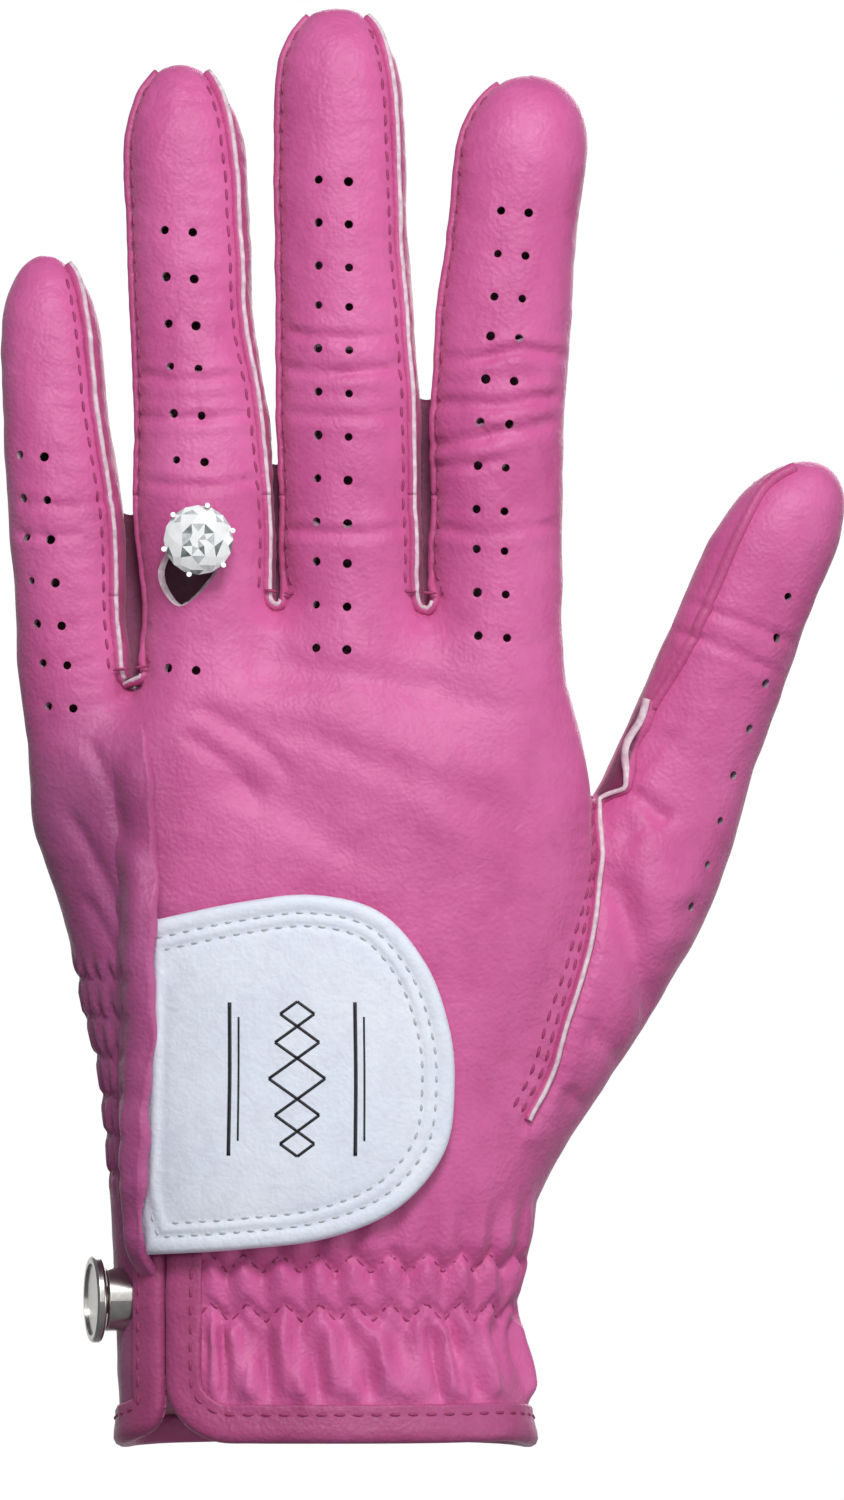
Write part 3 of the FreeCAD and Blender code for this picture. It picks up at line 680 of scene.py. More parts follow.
def panel_fields(p):
    """Signed distances that are positive in each piece. The first that is positive names the piece."""
    x, y, z = p[:, 0], p[:, 1], p[:, 2]
    fields = {}
    owner = np.stack([TUBES[name].field(p) for name in LONG_FINGERS]).argmin(axis=0)
    thumb = TUBES["thumb"]
    back_line, palm_line = even_curve(THUMB_EDGE_BACK, 2.0), even_curve(THUMB_EDGE_PALM, 2.0)
    on_back = y < thumb.y(z) * 0.5
    # the lines run downwards, so the thumb is on their left
    edge = np.where(on_back, -inside_line(x, z, back_line), -inside_line(x, z, palm_line))
    edge = np.where((z > 91) & (x > 38.6), 5.0, np.where((x < 12) | (z < 33), -5.0, edge))
    narrowing = np.sqrt(np.maximum(1 - ((z - THUMB_STRIP_FOOT) / 43).clip(0, 1) ** 2, 0))
    strip = np.minimum(y - (thumb.y(z) - 3.0 * narrowing), thumb.y(z) + 5.0 - y)
    strip = np.minimum(strip, np.where((x < thumb.x(z)) & (z > THUMB_STRIP_FOOT), FAR, -FAR))
    fields["thumb_strip"] = np.minimum(strip, np.where(edge > 0, 9.0, edge))
    fields["thumb_panel"] = edge
    for number, name in enumerate(LONG_FINGERS):
        tube, split = TUBES[name], FINGERS[name]["split"]
        mine = (owner == number) & (edge < 0)
        closing = tip_closing(name, z)
        for side, low, label in ((1, SEAM_RADIAL, "radial"), (-1, SEAM_ULNAR, "ulnar")):
            if not has_strip(name, side):
                continue
            away = np.minimum(y - (tube.y(z) + low * closing), tube.y(z) + SEAM_PALM * closing - y)
            away = np.where(mine & ((x - tube.x(z)) * side > 0) & (z > STRIP_FOOT), away, -FAR)
            fields[f"{name}_tip_strip_{label}"] = np.where(z > split, away, -FAR)
            fork = number if side == 1 else number - 1
            pair = f"forked_strip_{LONG_FINGERS[fork]}_{LONG_FINGERS[fork + 1]}"
            low_part = np.where(z <= split, away, -FAR)
            fields[pair] = np.maximum(fields.get(pair, np.full(len(p), -FAR)), low_part)
        above = np.where(mine & (z > split), FAR, -FAR)
        if name == "little":
            fields["little_tip_wrap"] = above
            continue
        middle = tube.y(z) + (SEAM_PALM * closing if name == "index" else 0.0)
        fields[name + "_tip_palm"] = np.minimum(above, y - middle)
        fields[name + "_tip_back"] = above
    little_side = (owner == 0) & (z > 92)
    body_split = TUBES["index"].y(z) + SEAM_PALM
    back = np.where(little_side, -FAR, np.minimum(body_split - y, np.where(z < 96, x - slit_x(z), FAR)))
    fields["back_panel"] = back
    fields["palm_panel"] = np.full(len(p), FAR)
    return fields


def snap(points, measure, reach):
    """Moves the points within reach of a zero of measure onto it, so that cuts run clean."""
    value = measure(points)
    near = np.abs(value) < reach
    if not near.any():
        return points
    moved = points[near]
    grad = np.zeros_like(moved)
    for axis in range(3):
        shift = np.zeros(3)
        shift[axis] = SNAP_STEP
        grad[:, axis] = (measure(moved + shift) - measure(moved - shift)) / (2 * SNAP_STEP)
    size = (grad**2).sum(axis=1)
    good = (size > 0.2) & (size < 9.0)
    moved[good] -= grad[good] * (value[near][good] / size[good])[:, None]
    points = points.copy()
    points[near] = moved
    return points


# --- holes --------------------------------------------------------------------------------------------------------
PERFORATION_R = 0.62
# Rows of holes in pairs: (x and z of the pair's middle at stations from tip to knuckle), pairs, spacing.
PERFORATIONS = [
    ([(-40.5, 137.4), (-39.4, 124.0), (-37.9, 113.0), (-36.4, 102.6)], 7, 3.4),
    ([(-20.2, 168.5), (-19.7, 155.0), (-18.5, 136.6)], 6, 3.9),
    ([(1.2, 175.5), (1.3, 150.0), (1.1, 130.0), (1.0, 110.6)], 12, 4.2),
    ([(26.3, 171.2), (25.0, 155.0), (23.2, 138.0), (22.9, 126.0), (23.2, 112.3)], 11, 3.9),
    ([(-19.5, 107.8), (-19.4, 107.0)], 1, 3.7),
]
THUMB_PERFORATIONS = [
    (64.3, 118.0), (62.8, 112.2), (61.1, 106.0), (59.0, 99.6), (57.0, 93.1), (55.1, 86.8), (53.3, 80.7), (50.9, 74.9),
]
RING_OPENING = [(-22.8, 121.6), (-20.0, 116.5), (-15.3, 120.5), (-14.0, 124.8), (-17.6, 128.4)]


def perforation_places():
    places = []
    for stations, pairs, spacing in PERFORATIONS:
        line = even_curve(stations, 0.5) if pairs > 1 else np.array(stations[:1])
        for x, z in line[np.linspace(0, len(line) - 1, pairs).round().astype(int)]:
            places += [(x - spacing / 2, z + 0.15), (x + spacing / 2, z - 0.15)]
    places += THUMB_PERFORATIONS
    places = np.array(places)
    return on_face(places[:, 0], places[:, 1])


def cut_hole(points, normals, faces, ring, ring_normal, reach):
    """Takes out the faces around a ring of points and joins their outline to the ring. Returns the new arrays."""
    centre = ring.mean(axis=0)
    near = np.where(np.linalg.norm(points - centre, axis=1) < reach + 3.0)[0]
    flag = np.zeros(len(points), bool)
    flag[near] = True
    candidates = np.where((faces >= 0).any(axis=1) & flag[faces[:, 0]])[0]
    u = ring[0] - centre
    u -= ring_normal * (u @ ring_normal)
    u /= np.linalg.norm(u)
    v = np.cross(ring_normal, u)
    angles = np.arctan2((ring - centre) @ v, (ring - centre) @ u)
    radii = np.linalg.norm(ring - centre, axis=1)
    order = np.argsort(angles)

    def outside(q):
        a = np.arctan2((q - centre) @ v, (q - centre) @ u)
        r = np.hypot((q - centre) @ v, (q - centre) @ u)
        return r - np.interp(a, angles[order], radii[order], period=2 * math.pi)

    corner_out = outside(points[faces[candidates].clip(0)].reshape(-1, 3)).reshape(-1, 4)
    corner_out[faces[candidates] < 0] = 1e3
    beside = np.abs((points[faces[candidates, 0]] - centre) @ ring_normal) < 4.0
    gone = candidates[(corner_out.min(axis=1) < 0.32) & beside]
    removed = faces[gone]
    edges = {}
    for face in removed:
        loop = [i for i in face if i >= 0]
        for a, b in zip(loop, loop[1:] + loop[:1]):
            if (b, a) in edges:
                del edges[(b, a)]
            else:
                edges[(a, b)] = True
    follow = dict(edges.keys())
    start = next(iter(follow))
    outline, at = [start], follow[start]
    while at != start and at in follow and len(outline) < 500:
        outline.append(at)
        at = follow[at]
    outline = np.array(outline)
    first = len(points)
    ring = ring[order]
    new_points = np.concatenate([points, ring])
    new_normals = np.concatenate([normals, np.repeat(ring_normal[None], len(ring), axis=0)])
    q = points[outline] - centre
    turn = np.arctan2(q @ v, q @ u)
    sign = np.sign(np.sum(np.angle(np.exp(1j * (np.roll(turn, -1) - turn)))))
    if sign < 0:
        ring_ids = np.arange(len(ring))[::-1] + first
        ring_turn = angles[order][::-1]
    else:
        ring_ids = np.arange(len(ring)) + first
        ring_turn = angles[order]
    if sign < 0:
        turn, ring_turn = -turn, -ring_turn
    j = int(np.argmin(np.abs(np.angle(np.exp(1j * (ring_turn - turn[0]))))))
    ring_ids, ring_turn = np.roll(ring_ids, -j), np.roll(ring_turn, -j)
    outer = np.cumsum(np.angle(np.exp(1j * (np.roll(turn, -1) - turn))))
    inner = np.cumsum(np.angle(np.exp(1j * (np.roll(ring_turn, -1) - ring_turn))))
    inner = np.angle(np.exp(1j * (ring_turn[0] - turn[0]))) + inner
    m, n, i, j, made = len(outline), len(ring_ids), 0, 0, []
    while i < m or j < n:
        a, c = outline[i % m], ring_ids[j % n]
        if j >= n or (i < m and outer[i] <= inner[j]):
            made.append((a, outline[(i + 1) % m], c, -1))
            i += 1
        else:
            made.append((a, ring_ids[(j + 1) % n], c, -1))
            j += 1
    kept = np.delete(faces, gone, axis=0)
    return new_points, new_normals, np.concatenate([kept, np.array(made)])


def leather_skin():
    """Every point, normal, face and face label of the finished leather's outside."""
    points, quads = glove_surface()
    points = snap(points, edge_distance, 0.36)
    for name in panel_fields(points[:1]):
        if "strip" in name or name == "thumb_panel":
            points = snap(points, lambda q, name=name: panel_fields(q)[name], 0.3)
    normal, _ = slope_of(points)
    inside = edge_distance(points[quads].mean(axis=1)) > 0
    faces = quads[inside]
    height = relief(points, normal)
    finished = points + normal * height[:, None]
    centres = perforation_places()
    centre_normals, _ = slope_of(centres)
    turn = np.linspace(0, 2 * math.pi, 12, endpoint=False)
    plain = points
    for centre, out in zip(centres, centre_normals):
        side = np.cross(out, (0.0, 0.0, 1.0))
        side /= np.linalg.norm(side)
        up = np.cross(side, out)
        wide = PERFORATION_R * RNG.uniform(0.88, 1.1)
        ring = centre + wide * (np.cos(turn)[:, None] * side + np.sin(turn)[:, None] * up)
        ring_height = relief(ring, np.repeat(out[None], len(ring), axis=0)) - 0.12
        finished, normal, faces = cut_hole(finished, normal, faces, ring + out * ring_height[:, None], out, wide)
        plain = np.concatenate([plain, ring])
    outline = even_curve(RING_OPENING, 0.7, closed=True)[:-1]
    ring = on_face(outline[:, 0], outline[:, 1])
    ring_normals, _ = slope_of(ring)
    lift = relief(ring, ring_normals) + 0.25
    mean_normal = ring_normals.mean(axis=0)
    mean_normal /= np.linalg.norm(mean_normal)
    before = len(finished)
    finished, normal, faces = cut_hole(finished, normal, faces, ring + ring_normals * lift[:, None], mean_normal, 8.0)
    plain = np.concatenate([plain, finished[before:]])
    normal = vertex_normals(finished, faces, normal)
    corners = np.where(faces >= 0, faces, faces[:, :1])
    middle = plain[corners].mean(axis=1)
    return finished, normal, faces, panel_fields(middle)


def vertex_normals(points, faces, outwards):
    """Smooth normals, weighted by area."""
    corners = np.where(faces >= 0, faces, faces[:, :1])
    a, b, c, d = (points[corners[:, k]] for k in range(4))
    area = np.cross(c - a, d - b)
    flat = (faces < 0).any(axis=1)
    area[flat] = np.cross(b[flat] - a[flat], c[flat] - a[flat])
    flip = np.sign((area * outwards[corners[:, 0]]).sum(axis=1))
    area *= flip[:, None]
    total = np.zeros_like(points)
    for k in range(4):
        used = faces[:, k] >= 0
        np.add.at(total, faces[used, k], area[used])
    size = np.linalg.norm(total, axis=1)
    return np.where(size[:, None] > 1e-9, total / np.maximum(size, 1e-9)[:, None], outwards)


# --- making Blender meshes ----------------------------------------------------------------------------------------
BOUND_BELOW = 60.0  # cut edges below this height lie under the binding and take its darker pink, a painted shade


def four_cornered(faces):
    """Rows of four corners, with -1 for the missing corner of a triangle."""
    faces = np.asarray(faces)
    if faces.shape[1] == 3:
        faces = np.concatenate([faces, np.full((len(faces), 1), -1)], axis=1)
    return faces


def new_object(name, points, faces, materials, material_ids=None, corner_normals=None):
    """A smooth mesh object from points in millimetres and faces as rows of four, with -1 for a missing corner."""
    total = (faces >= 0).sum(axis=1)
    mesh = bpy.data.meshes.new(name)
    mesh.vertices.add(len(points))
    mesh.vertices.foreach_set("co", (np.asarray(points, np.float32) * MM).ravel())
    mesh.loops.add(int(total.sum()))
    mesh.loops.foreach_set("vertex_index", faces[faces >= 0].astype(np.int32))
    mesh.polygons.add(len(faces))
    mesh.polygons.foreach_set("loop_start", np.concatenate([[0], np.cumsum(total)[:-1]]).astype(np.int32))
    for material in materials:
        mesh.materials.append(material)
    if material_ids is not None:
        mesh.polygons.foreach_set("material_index", np.asarray(material_ids, np.int32))
    mesh.polygons.foreach_set("use_smooth", np.full(len(faces), True))
    mesh.update(calc_edges=True)
    mesh.validate()
    if corner_normals is not None:
        mesh.normals_split_custom_set(corner_normals.tolist())
    made = bpy.data.objects.new(name, mesh)
    bpy.context.scene.collection.objects.link(made)
    return made


def leather_piece(name, points, normals, faces, materials):
    """One panel with its thickness: the outside, the inside and the cut edges."""
    used, local = np.unique(faces[faces >= 0], return_inverse=True)
    top = np.full(faces.shape, -1)
    top[faces >= 0] = local
    count = len(used)
    outside, out = points[used], normals[used]
    total = (top >= 0).sum(axis=1)
    following = np.stack([np.where(k + 1 < total, top[:, (k + 1) % 4], top[:, 0]) for k in range(4)], axis=1)
    a = np.concatenate([top[:, k][top[:, k] >= 0] for k in range(4)]).astype(np.int64)
    b = np.concatenate([following[:, k][top[:, k] >= 0] for k in range(4)]).astype(np.int64)
    border = ~np.isin(a * count + b, b * count + a)
    first, second = a[border], b[border]
    rim = np.stack([second, first, first + count, second + count], axis=1)
    flipped = np.where(top >= 0, top + count, -1)
    quad = total == 4
    flipped[quad] = flipped[quad][:, ::-1]
    flipped[~quad, :3] = flipped[~quad, :3][:, ::-1]
    all_points = np.concatenate([outside, outside - out * LEATHER])
    q = all_points[rim]
    flat = np.cross(q[:, 2] - q[:, 0], q[:, 3] - q[:, 1])
    flat /= np.maximum(np.linalg.norm(flat, axis=1), 1e-9)[:, None]
    corner_normals = [out[top[top >= 0]], -out[flipped[flipped >= 0] - count], np.repeat(flat, 4, axis=0)]
    middles = q.mean(axis=1)
    # cut edges low down take the darker pink of painted shade
    rim_ids = np.where(middles[:, 2] < BOUND_BELOW, 3, 2)
    # the walls of the perforations take the darker cut edge: painted shade inside the holes
    for centre in perforation_places():
        rim_ids[np.linalg.norm(middles - centre, axis=1) < 2.2] = 4
    ids = np.concatenate([np.zeros(len(top)), np.ones(len(flipped)), rim_ids])
    faces = np.concatenate([top, flipped, rim])
    return new_object(name, all_points, faces, materials, ids, np.concatenate(corner_normals))


# --- materials ----------------------------------------------------------------------------------------------------
def node_tree(name):
    material = bpy.data.materials.new(name)
    material.use_nodes = True
    nodes, links = material.node_tree.nodes, material.node_tree.links
    return material, nodes, links, nodes["Principled BSDF"]


def texture(nodes, links, kind, scale, **values):
    """A procedural texture in the object's own metres."""
    where = nodes.get("Texture Coordinate") or nodes.new("ShaderNodeTexCoord")
    made = nodes.new("ShaderNodeTex" + kind)
    links.new(where.outputs["Object"], made.inputs["Vector"])
    made.inputs["Scale"].default_value = scale
    for key, value in values.items():
        made.inputs[key].default_value = value
    return made


def ramp(nodes, links, source, stops):
    made = nodes.new("ShaderNodeValToRGB")
    links.new(source, made.inputs["Fac"])
    elements = made.color_ramp.elements
    while len(elements) < len(stops):
        elements.new(0.5)
    for element, (place, colour) in zip(elements, stops):
        element.position = place
        element.color = (*colour, 1.0)
    return made


def bumps(nodes, links, shader, layers):
    """Bump maps on top of each other: (height output, strength, distance in metres)."""
    last = None
    for height, strength, distance in layers:
        made = nodes.new("ShaderNodeBump")
        made.inputs["Strength"].default_value = strength
        made.inputs["Distance"].default_value = distance
        links.new(height, made.inputs["Height"])
        if last is not None:
            links.new(last.outputs["Normal"], made.inputs["Normal"])
        last = made
    links.new(last.outputs["Normal"], shader.inputs["Normal"])


def feed(links, value, socket):
    """Puts a number, a colour or another node's output into a socket."""
    if isinstance(value, (float, tuple)):
        socket.default_value = value
    else:
        links.new(value, socket)


def calculate(nodes, links, operation, first, second):
    made = nodes.new("ShaderNodeMath")
    made.operation = operation
    for socket, value in zip(made.inputs, (first, second)):
        feed(links, value, socket)
    return made.outputs["Value"]


def within(nodes, links, limits):
    """The product of smooth steps: (value, where it is 0, where it is 1)."""
    product = None
    for value, start, end in limits:
        step = nodes.new("ShaderNodeMapRange")
        step.interpolation_type = "SMOOTHSTEP"
        step.inputs["From Min"].default_value, step.inputs["From Max"].default_value = start, end
        links.new(value, step.inputs["Value"])
        result = step.outputs["Result"]
        product = result if product is None else calculate(nodes, links, "MULTIPLY", product, result)
    return product


def deepen(nodes, links, amount, colour, by):
    """The colour multiplied by another, as far as the amount says."""
    mix = nodes.new("ShaderNodeMix")
    mix.data_type = "RGBA"
    mix.blend_type = "MULTIPLY"
    for name, value in (("Factor", amount), ("A", colour), ("B", by)):
        feed(links, value, mix.inputs[name])
    return mix.outputs["Result"]


def paint_shade(nodes, links, colour):
    """Painted shade: a darker shade on the little-finger side of the hand, which faces away from the lamps, and painted
    shade in the thumb's crotch.
    """
    where = nodes.new("ShaderNodeSeparateXYZ")
    links.new(nodes["Texture Coordinate"].outputs["Object"], where.inputs["Vector"])
    across, depth, height = (where.outputs[axis] for axis in "XYZ")
    # painted shade on the little-finger side of the hand
    side = within(nodes, links, [(across, -0.016, -0.029), (height, 0.112, 0.088)])
    colour = deepen(nodes, links, side, colour, (0.58, 0.62, 0.64, 1.0))

    def slanted(operation, value, other, slope):
        return calculate(nodes, links, operation, value, calculate(nodes, links, "MULTIPLY", other, slope))

    # painted shade in the thumb's crotch, a recess that the light barely reaches
    rise = calculate(nodes, links, "MAXIMUM", calculate(nodes, links, "SUBTRACT", height, 0.0936), 0.0)
    crotch_shade = within(nodes, links, [
        (slanted("SUBTRACT", across, rise, 0.36), 0.0420, 0.0414),
        (slanted("ADD", across, height, 0.2), 0.0556, 0.0563),
        (slanted("SUBTRACT", height, across, 0.45), 0.0719, 0.0725),
        (height, 0.1045, 0.1025),
        (depth, 0.008, 0.006),
    ])
    return deepen(nodes, links, crotch_shade, colour, (0.30, 0.26, 0.28, 1.0))


def leather_material(name, dark, middle, light, roughness=0.46, grain=1.0, sheen=0.14, with_painted_shade=False):
    """Fine-grained glove leather: pebbled cells, pores, soft blotches of colour, and painted shade in the valleys of
    its wrinkles.
    """
    material, nodes, links, shader = node_tree(name)
    blotch = texture(nodes, links, "Noise", 55.0, Detail=4.0, Roughness=0.6)
    colours = ramp(nodes, links, blotch.outputs["Fac"], [(0.3, dark), (0.52, middle), (0.75, light)])
    cells = texture(nodes, links, "Voronoi", 1500.0)
    cells.feature = "F1"
    pores = texture(nodes, links, "Noise", 2600.0, Detail=3.0)
    wrinkle = texture(nodes, links, "Noise", 420.0, Detail=5.0, Roughness=0.65, Distortion=0.8)
    # painted shade: the colour darkens where the wrinkle texture dips, in the valleys of its bump
    crevice_shade = ramp(nodes, links, wrinkle.outputs["Fac"], [(0.3, (0.82, 0.70, 0.78)), (0.6, (1.0, 1.0, 1.0))])
    colour = deepen(nodes, links, 0.35, colours.outputs["Color"], crevice_shade.outputs["Color"])
    # the pink leathers also get painted shade on the little-finger side and in the thumb's crotch
    links.new(paint_shade(nodes, links, colour) if with_painted_shade else colour, shader.inputs["Base Color"])
    rough = nodes.new("ShaderNodeMapRange")
    rough.inputs["To Min"].default_value = roughness - 0.06
    rough.inputs["To Max"].default_value = roughness + 0.10
    links.new(wrinkle.outputs["Fac"], rough.inputs["Value"])
    links.new(rough.outputs["Result"], shader.inputs["Roughness"])
    bumps(nodes, links, shader, [
        (wrinkle.outputs["Fac"], 0.35 * grain, 0.0006),
        (cells.outputs["Distance"], 0.30 * grain, 0.00022),
        (pores.outputs["Fac"], 0.20 * grain, 0.00010),
    ])
    shader.inputs["Sheen Weight"].default_value = sheen
    shader.inputs["Sheen Roughness"].default_value = 0.45
    shader.inputs["Specular IOR Level"].default_value = 0.42
    return material


def plain_material(name, dark, light, roughness, scale, strength, distance, kind="Noise"):
    """Two shades mixed by a texture, which also gives the bump."""
    material, nodes, links, shader = node_tree(name)
    tex = texture(nodes, links, kind, scale)
    out = tex.outputs["Distance" if kind == "Voronoi" else "Fac"]
    colours = ramp(nodes, links, out, [(0.3, dark), (0.7, light)])
    links.new(colours.outputs["Color"], shader.inputs["Base Color"])
    bumps(nodes, links, shader, [(out, strength, distance)])
    shader.inputs["Roughness"].default_value = roughness
    return material


def weave_material(name, dark, light, along, across):
    """Woven tape: ribs along one way and threads across, from two wave textures."""
    material, nodes, links, shader = node_tree(name)
    ribs = texture(nodes, links, "Wave", along)
    ribs.bands_direction = "Z"
    threads = texture(nodes, links, "Wave", across)
    threads.bands_direction = "X"
    both = calculate(nodes, links, "MULTIPLY", ribs.outputs["Fac"], threads.outputs["Fac"])
    colours = ramp(nodes, links, both, [(0.1, dark), (0.7, light)])
    links.new(colours.outputs["Color"], shader.inputs["Base Color"])
    bumps(nodes, links, shader, [(both, 0.6, 0.0003)])
    shader.inputs["Roughness"].default_value = 0.8
    return material


def metal_material(name, colour, roughness):
    material, nodes, links, shader = node_tree(name)
    scratches = texture(nodes, links, "Noise", 900.0, Detail=6.0, Roughness=0.7)
    shades = ramp(nodes, links, scratches.outputs["Fac"], [(0.35, tuple(0.8 * c for c in colour)), (0.65, colour)])
    links.new(shades.outputs["Color"], shader.inputs["Base Color"])
    bumps(nodes, links, shader, [(scratches.outputs["Fac"], 0.10, 0.00004)])
    shader.inputs["Metallic"].default_value = 1.0
    shader.inputs["Roughness"].default_value = roughness
    return material


# The pink and strip leathers carry painted shade on the little-finger side and in the thumb's crotch.
LEATHER_PINK = leather_material(
    "pink_leather", (0.590, 0.092, 0.295), (0.680, 0.128, 0.360), (0.740, 0.165, 0.415), with_painted_shade=True,
)
# A darker copy of the pink for the finger strips and seam flanges, which face sideways into the gaps: painted shade.
LEATHER_STRIP_SHADED = leather_material(
    "strip_leather", (0.500, 0.072, 0.235), (0.585, 0.098, 0.285), (0.650, 0.125, 0.335), with_painted_shade=True,
)
# A darker copy of the pink for the binding and the cut edges under it: painted shade.
LEATHER_SHADED = leather_material("pink_leather_shaded", (0.400, 0.058, 0.190), (0.470, 0.080, 0.235), (0.530, 0.102, 0.280))
# Nearly black pink for the sheets behind the finger gaps: the painted shade of the gaps.
LEATHER_FORK_SHADED = leather_material(
    "fork_leather_shaded", (0.150, 0.022, 0.072), (0.190, 0.030, 0.095), (0.230, 0.042, 0.120), 0.6, 1.0, 0.04,
)
LEATHER_WHITE = leather_material(
    "white_leather", (0.760, 0.830, 0.950), (0.810, 0.875, 0.975), (0.860, 0.910, 0.990), 0.5, 0.6, 0.1,
)
LINING = leather_material(
    "leather_inside", (0.560, 0.240, 0.360), (0.640, 0.290, 0.420), (0.700, 0.340, 0.470), 0.85, 1.6, 0.6,
)
RAW_EDGE = plain_material("raw_edge", (0.62, 0.44, 0.52), (0.86, 0.76, 0.80), 0.8, 900.0, 0.5, 0.0002)
# A darker copy of the cut edge for the walls of the perforations: painted shade inside the holes.
PUNCHED_EDGE_SHADED = plain_material("punched_edge_shaded", (0.30, 0.17, 0.24), (0.52, 0.36, 0.45), 0.8, 900.0, 0.5, 0.0002)
THREAD = plain_material("pink_thread", (0.30, 0.030, 0.120), (0.42, 0.055, 0.180), 0.6, 2200.0, 0.6, 0.0001)
THREAD_GREY = plain_material("grey_thread", (0.42, 0.47, 0.50), (0.58, 0.63, 0.66), 0.6, 2200.0, 0.6, 0.0001)
INK = plain_material("printed_ink", (0.006, 0.006, 0.008), (0.018, 0.018, 0.022), 0.4, 1200.0, 0.2, 0.00003)
ELASTIC = weave_material("woven_elastic", (0.34, 0.05, 0.17), (0.56, 0.11, 0.30), 900.0, 700.0)
LOOPS = plain_material("loop_tape", (0.55, 0.56, 0.60), (0.78, 0.79, 0.82), 0.95, 2200.0, 1.0, 0.0005, kind="Voronoi")
HOOKS = plain_material("hook_tape", (0.60, 0.61, 0.64), (0.80, 0.81, 0.83), 0.45, 1800.0, 0.8, 0.0004, kind="Voronoi")
NICKEL = metal_material("nickel", (0.62, 0.60, 0.57), 0.24)
SILVER = metal_material("white_metal", (0.86, 0.86, 0.85), 0.12)
# Painted reflections for the stone's facets: bright, grey and dark.
STONE_BRIGHT_REFLECTION = plain_material("crystal_painted_bright_reflection", (0.86, 0.88, 0.89), (0.97, 0.97, 0.97), 0.08, 900.0, 0.05, 0.00002)
STONE_GREY_REFLECTION = plain_material("crystal_painted_grey_reflection", (0.42, 0.45, 0.46), (0.66, 0.69, 0.70), 0.08, 1400.0, 0.05, 0.00002)
STONE_DARK_REFLECTION = plain_material("crystal_painted_dark_reflection", (0.10, 0.12, 0.12), (0.30, 0.33, 0.33), 0.08, 1400.0, 0.05, 0.00002)


# --- trims along curves -------------------------------------------------------------------------------------------
STITCH_PRESSED = 0.26 / 0.24  # how deep a stitch's ends are pressed in, over its radius


def joined(parts):
    """One set of points and faces from several."""
    points, faces, base = [], [], 0
    for p, f in parts:
        f = four_cornered(f)
        points.append(p)
        faces.append(np.where(f >= 0, f + base, -1))
        base += len(p)
    return np.concatenate(points), np.concatenate(faces)


def tangents(points):
    run = np.gradient(points, axis=0)
    return run / np.maximum(np.linalg.norm(run, axis=1), 1e-9)[:, None]


def quads_between(n, m):
    """Faces between n rings of m points each."""
    i, j = np.meshgrid(np.arange(n - 1), np.arange(m), indexing="ij")
    a, b = i * m + j, i * m + (j + 1) % m
    return np.stack([a, a + m, b + m, b], axis=-1).reshape(-1, 4)


def tube_mesh(rings):
    """Points and faces of a run of rings, with a fan of triangles over each end."""
    n, m = rings.shape[:2]
    k = np.arange(m)
    after, missing, last = (k + 1) % m, np.full(m, -1), (n - 1) * m
    start = np.stack([k, after, np.full(m, n * m), missing], axis=1)
    end = np.stack([last + after, last + k, np.full(m, n * m + 1), missing], axis=1)
    points = np.concatenate([rings.reshape(-1, 3), [rings[0].mean(axis=0), rings[-1].mean(axis=0)]])
    return points, np.concatenate([quads_between(n, m), start, end])


def sweep(points, normals, profile):
    """A closed profile of (sideways, upwards) swept along a curve on the leather, with flat ends."""
    along = tangents(points)
    side = np.cross(along, normals)
    side /= np.maximum(np.linalg.norm(side, axis=1), 1e-9)[:, None]
    up = np.cross(side, along)
    profile = np.broadcast_to(profile, (len(points), *np.shape(profile)[-2:]))
    return tube_mesh(points[:, None] + profile[..., :1] * side[:, None] + profile[..., 1:] * up[:, None])


def round_profile(half_width, low, high, count, power=2.6):
    """A rounded closed profile between two heights."""
    angle = np.linspace(0, 2 * math.pi, count, endpoint=False)
    c, s = np.cos(angle), np.sin(angle)
    x = half_width * np.sign(c) * np.abs(c) ** (2 / power)
    y = (low + high) / 2 + (high - low) / 2 * np.sign(s) * np.abs(s) ** (2 / power)
    return np.stack([x, y], axis=1)


def capsule_row(points, normals, pitch, length, radius, lift):
    """A row of stitches: short rounded bars with their ends pressed into the leather."""
    along = length_along(points)
    count = max(1, int(along[-1] / pitch))
    stations = np.linspace(-0.5, 0.5, 6)
    bow = 1 - (2 * stations) ** 2
    rise = lift - STITCH_PRESSED * (1 - bow) * radius
    size = radius * (0.45 + 0.55 * np.sqrt(np.maximum(bow, 0)))
    profile = size[:, None, None] * round_profile(1.0, -1.0, 1.0, 7, 2.0)[None]
    parts = []
    for centre in (np.arange(count) + 0.5) * along[-1] / count:
        stretch = length * RNG.uniform(0.92, 1.06)
        at = np.clip(centre + stations * stretch, 0, along[-1])
        p = np.stack([np.interp(at, along, points[:, k]) for k in range(3)], axis=1)
        n = np.stack([np.interp(at, along, normals[:, k]) for k in range(3)], axis=1)
        n /= np.linalg.norm(n, axis=1)[:, None]
        parts.append(sweep(p + n * rise[:, None], n, profile))
    return parts


def on_skin(curve, pitch=0.6):
    """A curve of rough points, spaced evenly and brought onto the finished leather."""
    return skin(even_curve(curve, pitch))


def sideways(points, normals, distance):
    """The curve moved sideways over the leather."""
    return skin(points + np.cross(tangents(points), normals) * distance)


def piece(name, parts, material, body=None, blend=None, replaces=()):
    """A closed piece from parts of (points, faces), with its faces turned outwards."""
    points, faces = joined(parts)
    made = new_object(name, points, faces, [material])
    turned = bmesh.new()
    turned.from_mesh(made.data)
    bmesh.ops.recalc_face_normals(turned, faces=turned.faces)
    turned.to_mesh(made.data)
    turned.free()
    attach(made, body, blend, replaces)


def attach(made, body, blend=None, replaces=()):
    """Blend is (body a, body b, start, end) in millimetres; its values are not used, only whether it is given: a piece
    with a blend is baked where it stands, one without is attached to its body.
    """
    if blend:
        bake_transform(made)
    else:
        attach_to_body(made, body)
    if replaces:
        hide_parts(*replaces)


